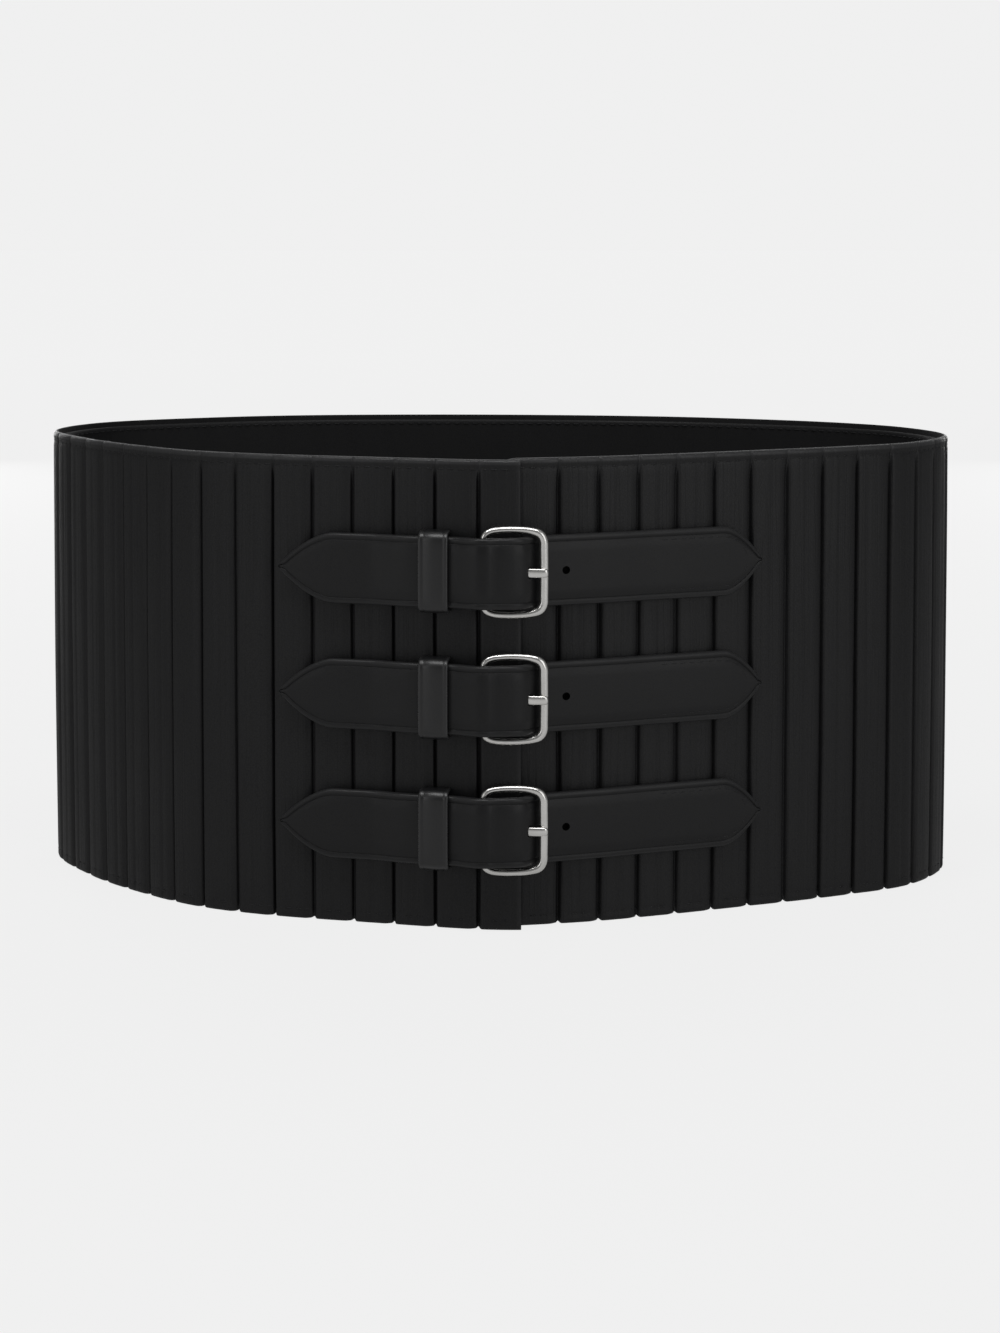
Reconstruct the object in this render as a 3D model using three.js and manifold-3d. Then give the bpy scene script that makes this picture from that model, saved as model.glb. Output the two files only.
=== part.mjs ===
// A wide corset belt of pleated black leather, standing on its lower edge as a closed loop.
// The left front laps over the right front, and three rows of strap and buckle hold the lap.
// Millimetres, +Z up. The front faces -Y, and the origin is the middle of the base.
import * as THREE from "three";
import { mergeVertices } from "three/addons/utils/BufferGeometryUtils.js";
import Module from "manifold-3d";

const wasm = await Module();
wasm.setup();

// The loop in plan, and its height.
const BELT_WIDTH = 288; // left end to right end, outside
const BELT_DEPTH = 183; // front to back, outside
const BELT_HEIGHT = 140; // lower edge to rim
const FOOT_FLARE = 1.0; // how far the lower edge stands out beyond the rim

// The band.
const LEATHER = 2.0; // pleated leather, at a pleat's crown
const LINING = 1.0; // smooth leather inside
const LINING_STEP = 1.6; // the lining stops this far short of each edge
const RIM_ROUND = 1.0; // height of the rounded rim
const RIM_SHARE = 0.28; // of the wall, taken off at each side of the rim
const PLEAT_PITCH = 12.8; // groove to groove
const FIRST_PLEAT = 11.3; // from the lap's free edge to the first groove
const GROOVE_DEPTH = 1.0;
const GROOVE_HALF = 0.6; // half the width of a groove at its lips
const SHOULDER_DROP = 0.35; // a pleat's lip below its crown
const SHOULDER_REACH = 1.9; // from the groove's middle to the flat of the pleat

// The lap at the front. Places along the band are lengths from the front's middle, plus is right.
const LAP_EDGE = 8.1; // the free upright edge of the left front
const LAP = 51.1; // how far the right front runs on under it
const LAP_LIFT = 6.2; // the free edge stands this far out from the band's line
const LIFT_REACH = 56; // and comes back to that line over this length
const LIFT_BEND = 1.8; // power of that curve
const GAP = 0.3; // left between pieces that touch
const TUCK_EASE = 0.5; // how softly the right front turns inwards under the lap

// The rows of straps.
const LOWEST_ROW = 30.5; // lower edge to the lowest strap's middle
const TOP_MARGIN = 32.8; // rim to the highest strap's middle

// The tongue strap: from the right front, through the buckle and the keeper, to its free tip.
const STRAP_WIDTH = 21;
const STRAP = 2.1; // thickness
const STRAP_EASE = 0.25; // of a strap's thickness, taken off its upper edges
const STRAP_STEP = 5.4; // between the sections of a strap
const BEND_STEP = 3.2; // where it bends down under the front bar
const TURN_STEP = 18; // degrees, round the heel bar
const STRAP_TIP_LEFT = -63.4;
const STRAP_TIP_RIGHT = 87.2;
const LEFT_POINT = 17; // length of the left point
const RIGHT_POINT = 13; // length of the right point
const POINT_BEND = 1.7; // power of a point's outline
const TIP_HALF = 0.5; // half the width of its blunt tip
const UNDER_SHARE = 0.93; // of the frame's length, where it has sunk below the front bar
const SEAM_START = 52; // the strap is sewn flat to the right front from here on
const SEAM_RISE = 1.2; // it stands this far off half way there from the buckle
const HOLE = 2.4; // diameter
const SPARE_HOLE = 13.2; // from the hole in use to the one on its right

// The buckle strap, under the tongue strap.
const CHAPE_WIDTH = 19.4;
const CHAPE_NECK = 17; // where it folds round the heel bar
const CHAPE = 1.3; // thickness
const CHAPE_TIP = -59.5;
const CHAPE_POINT = 15;
const CHAPE_RETURN = -23; // the folded end stops here
const NECK_LONG = 8; // the neck narrows over this length
const NECK_END = 4; // and ends this far short of the heel bar
const RETURN_EASE = 12; // it climbs onto its folded end over this length
const HEEL_EASE = 7; // and up to the heel bar over this one
const SLOT_CLEAR = 0.45; // round the prong's eye

// The keeper.
const KEEPER_MIDDLE = -15.3;
const KEEPER_LONG = 8.4;
const KEEPER = 1.2; // thickness
const KEEPER_EASE = 0.7; // of its thickness, taken off its corners
const KEEPER_CLEAR = 0.4; // beside the strap
const KEEPER_STEP = 2.8; // between its sections

// The buckle, centre line to centre line.
const HEEL_BAR = -1.65; // place of the heel bar
const FRAME_LONG = 17.6; // heel bar to front bar
const FRAME_HALF = 12.5; // half the height at its widest
const FRAME_WIRE = 2.2;
const FRONT_BAR = 2.8;
const FRONT_RISE = 1.6; // the front bar stands this much further out than the heel bar
const PRONG_WIDTH = 2.9;
const PRONG = 1.5; // thickness
const PRONG_EYE = 0.8; // thickness round the heel bar
const EYE_FROM = 290; // degrees round the heel bar, from the eye's end
const EYE_TO = 50; // to where the prong leaves it
const EYE_STEP = 30;
const PRONG_OVER = 1.0; // the tip runs past the front bar's middle
const TIP_SINK = 0.2; // and dips by this much
const TIP_THIN = 0.6; // to this share of the thickness
const PRONG_EASE = 0.5; // of half its thickness, taken off its upper edges
const HOLE_SHARE = 0.68; // of the frame's length, from the heel bar to the hole in use

// The rows, as shares of the way down from the highest to the lowest.
const ROWS = [{ down: 0 }, { down: 0.489 }, { down: 1 }];

// The plan, as shares: across is of half the width, back is of the depth, from the front's middle.
const PLAN = [
  { across: 0.0, back: 0.0 },
  { across: 0.109, back: 0.0155 },
  { across: 0.2225, back: 0.0405 },
  { across: 0.366, back: 0.088 },
  { across: 0.525, back: 0.149 },
  { across: 0.759, back: 0.2445 },
  { across: 0.919, back: 0.335 },
  { across: 1.014, back: 0.506 },
  { across: 0.942, back: 0.6815 },
  { across: 0.802, back: 0.796 },
  { across: 0.571, back: 0.899 },
  { across: 0.354, back: 0.958 },
  { across: -0.05, back: 0.998 },
  { across: -0.462, back: 0.977 },
  { across: -0.696, back: 0.9085 },
  { across: -0.9075, back: 0.792 },
  { across: -0.986, back: 0.614 },
  { across: -0.886, back: 0.413 },
  { across: -0.7535, back: 0.264 },
  { across: -0.619, back: 0.1545 },
  { across: -0.4645, back: 0.0865 },
  { across: -0.181, back: 0.0185 },
];

// The buckle frame's upper half, as shares: along is of its length, half is of its half height.
const FRAME = [
  { along: 0.0, half: 0.3 },
  { along: 0.0, half: 0.6 },
  { along: 0.0, half: 0.79 },
  { along: 0.03, half: 0.89 },
  { along: 0.12, half: 0.965 },
  { along: 0.3, half: 1.0 },
  { along: 0.6, half: 1.0 },
  { along: 0.8, half: 0.97 },
  { along: 0.93, half: 0.9 },
  { along: 0.99, half: 0.77 },
  { along: 1.0, half: 0.5 },
];

// The prong past its eye, as shares: along is of the frame's length, rise is of its height on the
// front bar. The tongue strap rests on it where it is lowest, and is pierced after that.
const PRONG_LINE = [
  { along: 0.22, rise: 0.49 },
  { along: 0.4, rise: 0.37 },
  { along: 0.56, rise: 0.31 },
  { along: 0.66, rise: 0.45 },
  { along: 0.76, rise: 0.76 },
  { along: 0.86, rise: 0.93 },
  { along: 1.0, rise: 1.0 },
];

const leather = new THREE.MeshStandardMaterial({ color: 0x17171a, roughness: 0.48, metalness: 0 });
const liningLeather = new THREE.MeshStandardMaterial({ color: 0x121214, roughness: 0.62, metalness: 0 });
const strapLeather = new THREE.MeshStandardMaterial({ color: 0x1b1b1e, roughness: 0.42, metalness: 0 });
const nickel = new THREE.MeshStandardMaterial({ color: 0xc9c8c4, roughness: 0.22, metalness: 1 });

const plan = new THREE.CatmullRomCurve3(
  PLAN.map((p) => new THREE.Vector3((p.across * BELT_WIDTH) / 2, p.back * BELT_DEPTH, 0)),
  true,
  "centripetal",
);
plan.arcLengthDivisions = 1600;
const LOOP = plan.getLength();

// A point of the band's line and its outward normal, at a length along the band.
function onPlan(s) {
  const u = THREE.MathUtils.euclideanModulo(s / LOOP, 1);
  const t = plan.getTangentAt(u);
  return { at: plan.getPointAt(u), along: t, normal: new THREE.Vector3(t.y, -t.x, 0) };
}

// How far the band leans out at a height.
function lean(z) {
  return FOOT_FLARE * (1 - (z / BELT_HEIGHT) ** 2);
}

// The point at a length along the band, a distance out from its line, and a height.
function place(s, out, z) {
  const { at, normal } = onPlan(s);
  return at.addScaledVector(normal, out + lean(z)).setZ(z);
}

// A closed solid through rings of points, its ends capped unless the rings close on themselves.
function loft(rings, closed = false) {
  const n = rings[0].length;
  const faces = [];
  const spans = closed ? rings.length : rings.length - 1;
  for (let i = 0; i < spans; i++) {
    const a = i * n;
    const b = ((i + 1) % rings.length) * n;
    for (let k = 0; k < n; k++) {
      const m = (k + 1) % n;
      faces.push(a + k, b + k, b + m, a + k, b + m, a + m);
    }
  }
  if (!closed) {
    const last = (rings.length - 1) * n;
    for (const [p, q, r] of capOf(rings[0])) faces.push(p, q, r);
    for (const [p, q, r] of capOf(rings.at(-1))) faces.push(last + p, last + r, last + q);
  }
  const geometry = new THREE.BufferGeometry().setFromPoints(rings.flat());
  geometry.setIndex(faces);
  return facingOut(geometry);
}

// The triangles of a flat ring, wound as the ring runs.
function capOf(ring) {
  const middle = ring.reduce((sum, p) => sum.add(p), new THREE.Vector3()).divideScalar(ring.length);
  const up = new THREE.Vector3();
  ring.forEach((p, i) => {
    const q = ring[(i + 1) % ring.length];
    up.add(p.clone().sub(middle).cross(q.clone().sub(middle)));
  });
  up.normalize();
  const u = ring[1].clone().sub(ring[0]).normalize();
  const v = up.clone().cross(u);
  const flat = ring.map((p) => new THREE.Vector2(p.dot(u), p.dot(v)));
  return THREE.ShapeUtils.triangulateShape(flat, []);
}

// The same geometry with its faces turned to point out.
function facingOut(geometry) {
  const p = geometry.getAttribute("position");
  const index = geometry.index.array;
  const [a, b, c] = [new THREE.Vector3(), new THREE.Vector3(), new THREE.Vector3()];
  let volume = 0;
  for (let i = 0; i < index.length; i += 3) {
    a.fromBufferAttribute(p, index[i]);
    b.fromBufferAttribute(p, index[i + 1]);
    c.fromBufferAttribute(p, index[i + 2]);
    volume += a.dot(b.cross(c));
  }
  if (volume < 0) {
    for (let i = 0; i < index.length; i += 3) [index[i + 1], index[i + 2]] = [index[i + 2], index[i + 1]];
  }
  return geometry;
}

// A geometry as a solid that can be cut.
function solid(geometry) {
  const bare = geometry.clone();
  bare.deleteAttribute("normal");
  bare.deleteAttribute("uv");
  const merged = mergeVertices(bare, 1e-4);
  return new wasm.Manifold(
    new wasm.Mesh({
      numProp: 3,
      vertProperties: merged.getAttribute("position").array,
      triVerts: new Uint32Array(merged.index.array),
    }),
  );
}

// The geometry that is left when the cutters are taken away.
function cut(geometry, cutters) {
  const left = cutters.reduce((body, cutter) => body.subtract(solid(cutter)), solid(geometry));
  const mesh = left.getMesh();
  const result = new THREE.BufferGeometry();
  result.setAttribute("position", new THREE.BufferAttribute(mesh.vertProperties.slice(), 3));
  result.setIndex(new THREE.BufferAttribute(mesh.triVerts.slice(), 1));
  return result;
}

// A smooth curve through a few rows of x and y that never swings past them.
function curveThrough(rows) {
  const slope = rows.slice(1).map((r, i) => (r.y - rows[i].y) / (r.x - rows[i].x));
  const tangent = rows.map((_, i) => {
    if (i === 0 || i === rows.length - 1) return slope[Math.min(i, slope.length - 1)];
    const [a, b] = [slope[i - 1], slope[i]];
    return a * b <= 0 ? 0 : (2 * a * b) / (a + b);
  });
  return (x) => {
    if (x <= rows[0].x) return rows[0].y;
    if (x >= rows.at(-1).x) return rows.at(-1).y;
    const i = rows.findIndex((r) => r.x > x) - 1;
    const h = rows[i + 1].x - rows[i].x;
    const t = (x - rows[i].x) / h;
    const bend = t * t * (3 - 2 * t);
    return (
      rows[i].y * (1 - bend) +
      rows[i + 1].y * bend +
      h * t * (1 - t) * ((1 - t) * tangent[i] - t * tangent[i + 1])
    );
  };
}

// Lengths from one end to the other at about a step, with given ones among them.
function stations(from, to, step, also = []) {
  const count = Math.max(1, Math.round((to - from) / step));
  const even = Array.from({ length: count + 1 }, (_, i) => from + ((to - from) * i) / count);
  const kept = even.filter((s, i) => i === 0 || i === count || also.every((a) => Math.abs(a - s) > step / 3));
  return [...kept, ...also.filter((a) => a > from && a < to)].sort((a, b) => a - b);
}

// The band. Its own length runs left from the lap edge, round the back and under the lap.
const WALL = LEATHER + GAP + LINING; // leather, gap and lining
const BAND = LOOP + LAP;
const PLEATS = Math.round((BAND - FIRST_PLEAT) / PLEAT_PITCH) + 1;
const PITCH = (BAND - FIRST_PLEAT) / (PLEATS - 1);

// Where a pleat begins, as a length left of the lap edge.
const pleatStart = (k) => (k === 0 ? 0 : FIRST_PLEAT + (k - 1) * PITCH);

// The left front's outer face, out from the band's line, at a length left of the lap edge.
function lift(d) {
  return d < LIFT_REACH ? LAP_LIFT * (1 - d / LIFT_REACH) ** LIFT_BEND : 0;
}

// How far the right front turns in, so that it clears the lap at the same length.
function tuck(d) {
  return TUCK_EASE * Math.log1p(Math.exp((WALL + 2 * GAP - lift(d)) / TUCK_EASE));
}

// The outer face of the band, out from its line, at a length along the band.
function bandFace(d) {
  const under = d - LOOP;
  return lift(d) - (under > -LIFT_REACH ? tuck(under) : 0);
}

// The left front's outer face by place, and the right front's, whose face is the band's line.
const leftFace = (s) => lift(LAP_EDGE - s);

function bandRing(d, profile) {
  const face = bandFace(d);
  return profile.map(([out, z]) => place(LAP_EDGE - d, face + out, z));
}

function wrapProfile(drop) {
  const [inside, outside] = [-LEATHER, -drop];
  const wall = outside - inside;
  return [
    [inside, 0],
    [inside, BELT_HEIGHT / 2],
    [inside, BELT_HEIGHT - RIM_ROUND],
    [inside + wall * RIM_SHARE, BELT_HEIGHT],
    [outside - wall * RIM_SHARE, BELT_HEIGHT],
    [outside, BELT_HEIGHT - RIM_ROUND],
    [outside, BELT_HEIGHT / 2],
    [outside, 0],
  ];
}

function makeWrap() {
  const rings = [];
  for (let k = 0; k < PLEATS; k++) {
    const start = pleatStart(k);
    const end = pleatStart(k + 1);
    if (k > 0) rings.push(bandRing(start, wrapProfile(GROOVE_DEPTH)));
    rings.push(bandRing(start + (k > 0 ? GROOVE_HALF : 0), wrapProfile(SHOULDER_DROP)));
    rings.push(bandRing(start + SHOULDER_REACH, wrapProfile(0)));
    rings.push(bandRing(end - SHOULDER_REACH, wrapProfile(0)));
    const last = k === PLEATS - 1;
    rings.push(bandRing(end - (last ? 0 : GROOVE_HALF), wrapProfile(SHOULDER_DROP)));
  }
  return loft(rings);
}

// The lining's rings stand where the pleats' flats begin and end, so both faces bend alike.
function makeLining() {
  const outside = -LEATHER - GAP;
  const inside = outside - LINING;
  const top = BELT_HEIGHT - LINING_STEP;
  const profile = [
    [inside, LINING_STEP],
    [inside, BELT_HEIGHT / 2],
    [inside, top],
    [outside, top],
    [outside, BELT_HEIGHT / 2],
    [outside, LINING_STEP],
  ];
  const rings = [];
  for (let k = 0; k < PLEATS; k++) {
    rings.push(bandRing(pleatStart(k) + SHOULDER_REACH, profile));
    rings.push(bandRing(pleatStart(k + 1) - SHOULDER_REACH, profile));
  }
  return loft(rings);
}

// A flat strap along a path of places and distances out. Half its width goes with the path.
function strapAlong(path, thickness, row) {
  const edge = thickness * STRAP_EASE;
  const half = thickness / 2;
  const rings = path.map((p, i) => {
    const a = path[Math.max(0, i - 1)];
    const b = path[Math.min(path.length - 1, i + 1)];
    const run = Math.hypot(b.s - a.s, b.out - a.out);
    const [ns, no] = [-(b.out - a.out) / run, (b.s - a.s) / run];
    const w = p.half;
    const e = Math.min(edge, w / 2);
    return [
      [-half, -w],
      [-half, w],
      [half - edge, w],
      [half, w - e],
      [half, e - w],
      [half - edge, -w],
    ].map(([v, z]) => place(p.s + v * ns, p.out + v * no, row + z));
  });
  return loft(rings);
}

// Half the width of a strap at a length in from its pointed tip.
function pointHalf(width, fromTip, length) {
  const t = THREE.MathUtils.clamp(fromTip / length, 0, 1);
  return Math.max(TIP_HALF, (width / 2) * (1 - (1 - t) ** POINT_BEND));
}

// What the straps climb over, from the left: the buckle strap, its folded end, the heel bar.
const FOLD = FRAME_WIRE / 2 + GAP + CHAPE / 2; // the fold's centre line round the heel bar
const HEEL_OUT = leftFace(HEEL_BAR) + GAP + CHAPE / 2 + FOLD;
const SINGLE = GAP + CHAPE; // one layer of buckle strap on the left front

// The frame lies flat, from the heel bar to the front bar. Its own x runs along it and y out of it.
function frameAxes(row) {
  const heel = place(HEEL_BAR, HEEL_OUT, row);
  const front = place(HEEL_BAR + FRAME_LONG, HEEL_OUT + FRONT_RISE, row);
  const x = front.sub(heel).setZ(0).normalize();
  const z = new THREE.Vector3(0, 0, 1);
  return new THREE.Matrix4().makeBasis(x, x.clone().cross(z), z).setPosition(heel);
}

// A geometry made in the frame's own axes, put where that row's buckle is.
function atBuckle(geometry, row) {
  return facingOut(geometry.applyMatrix4(frameAxes(row)));
}

// The length along the band, and the distance out, of a point in the frame's own x and y.
function fromFrame(x, y) {
  const point = new THREE.Vector3(x, y, 0).applyMatrix4(frameAxes(0));
  let s = HEEL_BAR + x;
  for (let i = 0; i < 12; i++) {
    const { at, along } = onPlan(s);
    s += point.clone().setZ(0).sub(at).dot(along);
  }
  const { at, normal } = onPlan(s);
  return { s, out: point.setZ(0).sub(at).dot(normal) - lean(0) };
}

// Points of an arc about the heel bar, from one angle down to another, in degrees.
function heelArc(radius, from, to, step) {
  return stations(to, from, step)
    .reverse()
    .map((degrees) => {
      const a = THREE.MathUtils.degToRad(degrees);
      return { s: HEEL_BAR + radius * Math.cos(a), out: HEEL_OUT + radius * Math.sin(a) };
    });
}

// The buckle strap's centre line on the left front, up to where it meets the heel bar.
const MEETS = 120; // degrees round the heel bar
const LEAVES = 66;
const TURNS_TO = -60; // the fold's last angle before it runs back below
const FOLD_STEP = 30;
const [meet] = heelArc(FOLD, MEETS, LEAVES, MEETS);
const chapeOver = curveThrough([
  { x: CHAPE_TIP, y: leftFace(CHAPE_TIP) + GAP + CHAPE / 2 },
  { x: CHAPE_RETURN - RETURN_EASE, y: leftFace(CHAPE_RETURN - RETURN_EASE) + GAP + CHAPE / 2 },
  { x: CHAPE_RETURN, y: leftFace(CHAPE_RETURN) + SINGLE + GAP + CHAPE / 2 },
  { x: meet.s - HEEL_EASE, y: leftFace(meet.s - HEEL_EASE) + SINGLE + GAP + CHAPE / 2 },
  { x: meet.s, y: meet.out },
]);

// The tongue strap's centre line: over the buckle strap, under the front bar, onto the right front.
const frontBar = fromFrame(FRAME_LONG * UNDER_SHARE, -FRONT_BAR / 2 - 2 * GAP - STRAP / 2);
const onStrap = CHAPE / 2 + GAP + STRAP / 2;
const PRONG_SEAT = FRONT_BAR / 2 + GAP + PRONG / 2; // the prong's middle on the front bar
const rest = PRONG_LINE.reduce((low, p) => (p.rise < low.rise ? p : low));
const onProng = fromFrame(
  rest.along * FRAME_LONG,
  rest.rise * PRONG_SEAT + PRONG / 2 + 2 * GAP + STRAP / 2,
);
function makeTonguePath() {
  const marks = [1, 3, 7, LEFT_POINT].map((q) => STRAP_TIP_LEFT + q);
  const left = stations(STRAP_TIP_LEFT, meet.s, STRAP_STEP, marks).map((s) => {
    const slope = (chapeOver(s + 0.05) - chapeOver(s - 0.05)) / 0.1;
    const run = Math.hypot(1, slope);
    return { s: s - (onStrap * slope) / run, out: chapeOver(s) + onStrap / run };
  });
  left.pop();
  const arc = heelArc(FOLD + onStrap, MEETS, LEAVES, TURN_STEP);
  const leave = arc.at(-1);
  const right = curveThrough([
    { x: leave.s, y: leave.out },
    { x: onProng.s, y: onProng.out },
    { x: frontBar.s, y: frontBar.out },
    { x: (frontBar.s + SEAM_START) / 2, y: GAP + SEAM_RISE + STRAP / 2 },
    { x: SEAM_START, y: GAP + STRAP / 2 },
    { x: STRAP_TIP_RIGHT, y: GAP + STRAP / 2 },
  ]);
  const far = [1, 3, 7, RIGHT_POINT].map((q) => STRAP_TIP_RIGHT - q);
  const near = stations(leave.s, frontBar.s, BEND_STEP);
  const onward = stations(frontBar.s, STRAP_TIP_RIGHT, STRAP_STEP, far);
  const run = [...near.slice(1), ...onward.slice(1)];
  return [...left, ...arc, ...run.map((s) => ({ s, out: right(s) }))];
}
const tonguePath = makeTonguePath();
const tongueCentre = (s) => {
  const i = Math.max(1, tonguePath.findIndex((p) => p.s >= s));
  const [a, b] = [tonguePath[i - 1], tonguePath[i]];
  return THREE.MathUtils.mapLinear(s, a.s, b.s, a.out, b.out);
};

function makeTongue(row, prongCutter) {
  const [from, to] = [tonguePath[0].s, STRAP_TIP_RIGHT];
  const path = tonguePath.map((p) => ({
    ...p,
    half: Math.min(
      pointHalf(STRAP_WIDTH, p.s - from, LEFT_POINT),
      pointHalf(STRAP_WIDTH, to - p.s, RIGHT_POINT),
    ),
  }));
  const spare = fromFrame(FRAME_LONG * HOLE_SHARE, 0).s + SPARE_HOLE;
  const middle = place(spare, tongueCentre(spare), row);
  const up = new THREE.Vector3(0, 1, 0);
  const turn = new THREE.Quaternion().setFromUnitVectors(up, onPlan(spare).normal);
  const sides = 10;
  const punch = new THREE.CylinderGeometry(HOLE / 2, HOLE / 2, STRAP * 3, sides);
  punch.applyQuaternion(turn).translate(middle.x, middle.y, middle.z);
  return cut(strapAlong(path, STRAP, row), [prongCutter, punch]);
}

// The buckle strap: from its point on the left front, over and round the heel bar, and back below.
function makeChape(row) {
  const neck = curveThrough([
    { x: HEEL_BAR - NECK_END - NECK_LONG, y: CHAPE_WIDTH / 2 },
    { x: HEEL_BAR - NECK_END, y: CHAPE_NECK / 2 },
  ]);
  const half = (s) => Math.min(pointHalf(CHAPE_WIDTH, s - CHAPE_TIP, CHAPE_POINT), neck(s));
  const marks = [1, 3, 7].map((q) => CHAPE_TIP + q);
  const over = stations(CHAPE_TIP, meet.s, STRAP_STEP, marks).map((s) => ({ s, out: chapeOver(s) }));
  over.pop();
  const round = heelArc(FOLD, MEETS, TURNS_TO, FOLD_STEP);
  const back = stations(CHAPE_RETURN, HEEL_BAR, STRAP_STEP)
    .reverse()
    .map((s) => ({ s, out: leftFace(s) + GAP + CHAPE / 2 }));
  const path = [...over, ...round, ...back].map((p) => ({ ...p, half: half(p.s) }));
  const slot = 2 * (FOLD + CHAPE) + 2 * GAP;
  const punch = new THREE.BoxGeometry(slot, slot, PRONG_WIDTH + 2 * SLOT_CLEAR);
  return cut(strapAlong(path, CHAPE, row), [atBuckle(punch, row)]);
}

// The keeper bridges both straps, and its feet are sewn to the left front beside them.
function makeKeeper(row) {
  const inner = STRAP_WIDTH / 2 + KEEPER_CLEAR;
  const outer = inner + KEEPER;
  const from = KEEPER_MIDDLE - KEEPER_LONG / 2;
  const rings = stations(from, from + KEEPER_LONG, KEEPER_STEP).map((s) => {
    const foot = leftFace(s) + GAP;
    const roof = tongueCentre(s) + STRAP / 2 + GAP;
    const top = roof + KEEPER;
    const round = KEEPER * KEEPER_EASE;
    return [
      [foot, -outer],
      [top - round, -outer],
      [top, round - outer],
      [top, outer - round],
      [top - round, outer],
      [foot, outer],
      [foot, inner],
      [roof, inner],
      [roof, -inner],
      [foot, -inner],
    ].map(([out, z]) => place(s, out, row + z));
  });
  return loft(rings);
}

// The frame: bowed sides that narrow to the heel bar, and a heavier front bar.
function makeFrame(row) {
  const upper = FRAME.map((p) => [p.along * FRAME_LONG, p.half * FRAME_HALF]);
  const lower = upper.map(([x, z]) => [x, -z]).reverse();
  const points = [...upper, ...lower].map(([x, z]) => new THREE.Vector3(x, 0, z));
  const centre = new THREE.CatmullRomCurve3(points, true, "centripetal");
  const steps = 28;
  const sides = 6;
  const rings = [];
  for (let i = 0; i < steps; i++) {
    const at = centre.getPointAt(i / steps);
    const t = centre.getTangentAt(i / steps);
    const side = new THREE.Vector3(t.z, 0, -t.x);
    const share = THREE.MathUtils.smoothstep(at.x, FRAME_LONG * 0.75, FRAME_LONG);
    const r = THREE.MathUtils.lerp(FRAME_WIRE, FRONT_BAR, share) / 2;
    rings.push(
      Array.from({ length: sides }, (_, k) => {
        const a = (2 * Math.PI * k) / sides;
        const up = new THREE.Vector3(0, r * Math.sin(a), 0);
        return at.clone().addScaledVector(side, r * Math.cos(a)).add(up);
      }),
    );
  }
  return atBuckle(loft(rings, true), row);
}

// The prong: an eye round the heel bar, then up through the strap and over the front bar.
// Grown by a clearance, the same form is the opening that it makes in the strap.
function makeProng(row, grow = 0) {
  const eye = FRAME_WIRE / 2 + GAP + PRONG_EYE / 2;
  const path = [];
  for (let degrees = EYE_FROM; degrees >= EYE_TO; degrees -= EYE_STEP) {
    const a = THREE.MathUtils.degToRad(degrees);
    path.push({ x: eye * Math.cos(a), y: eye * Math.sin(a), thick: PRONG_EYE });
  }
  for (const p of PRONG_LINE) {
    path.push({ x: p.along * FRAME_LONG, y: p.rise * PRONG_SEAT, thick: PRONG });
  }
  path.push({ x: FRAME_LONG + PRONG_OVER, y: PRONG_SEAT - TIP_SINK, thick: PRONG * TIP_THIN });
  const line = new THREE.CatmullRomCurve3(path.map((p) => new THREE.Vector3(p.x, p.y, 0)));
  const rings = path.map((p, i) => {
    const at = new THREE.Vector3(p.x, p.y, 0);
    const t = line.getTangent(i / (path.length - 1));
    const side = new THREE.Vector3(-t.y, t.x, 0);
    const h = p.thick / 2 + grow;
    const w = PRONG_WIDTH / 2 + grow;
    const e = Math.min(h, w) * PRONG_EASE;
    return [
      [-h, -w],
      [-h, w],
      [h - e, w],
      [h, w - e],
      [h, e - w],
      [h - e, -w],
    ].map(([v, z]) => at.clone().addScaledVector(side, v).add(new THREE.Vector3(0, 0, z)));
  });
  return atBuckle(loft(rings), row);
}

const belt = new THREE.Group();

function add(name, geometry, material) {
  const mesh = new THREE.Mesh(geometry, material);
  mesh.name = name;
  belt.add(mesh);
}

add("pleated_wrap", makeWrap(), leather);
add("lining", makeLining(), liningLeather);
const ROW_DROP = BELT_HEIGHT - TOP_MARGIN - LOWEST_ROW;
ROWS.forEach(({ down }, k) => {
  const i = k + 1;
  const row = BELT_HEIGHT - TOP_MARGIN - down * ROW_DROP;
  add(`tongue_strap_${i}`, makeTongue(row, makeProng(row, GAP)), strapLeather);
  add(`buckle_strap_${i}`, makeChape(row), strapLeather);
  add(`keeper_${i}`, makeKeeper(row), strapLeather);
  add(`buckle_frame_${i}`, makeFrame(row), nickel);
  add(`prong_${i}`, makeProng(row), nickel);
});

// The origin goes to the middle of the base.
const box = new THREE.Box3().setFromObject(belt);
const centre = box.getCenter(new THREE.Vector3());
belt.position.set(-centre.x, -centre.y, -box.min.z);

export default belt;
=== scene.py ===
import math
from bisect import bisect_right

import bmesh
import bpy
from mathutils import Matrix, Vector, noise


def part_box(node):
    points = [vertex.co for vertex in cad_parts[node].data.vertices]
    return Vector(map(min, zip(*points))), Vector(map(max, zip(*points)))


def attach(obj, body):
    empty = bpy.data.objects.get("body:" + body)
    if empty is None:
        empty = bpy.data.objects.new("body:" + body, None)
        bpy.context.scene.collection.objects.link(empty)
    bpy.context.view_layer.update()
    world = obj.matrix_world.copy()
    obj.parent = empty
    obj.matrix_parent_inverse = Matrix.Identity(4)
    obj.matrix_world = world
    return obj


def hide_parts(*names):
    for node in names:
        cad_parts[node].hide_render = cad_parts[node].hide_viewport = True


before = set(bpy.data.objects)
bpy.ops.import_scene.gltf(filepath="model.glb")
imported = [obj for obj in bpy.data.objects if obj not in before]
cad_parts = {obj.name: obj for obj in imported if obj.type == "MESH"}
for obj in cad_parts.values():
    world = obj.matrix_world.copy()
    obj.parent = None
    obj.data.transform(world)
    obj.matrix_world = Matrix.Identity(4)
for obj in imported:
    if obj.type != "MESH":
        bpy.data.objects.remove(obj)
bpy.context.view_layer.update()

# Pleated leather.
# One long strip of thin black calf, pressed into flat upright pleats and turned over at rim and
# foot. It runs once round the waist, and its left front laps over its right front.
MM = 0.001
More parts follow.
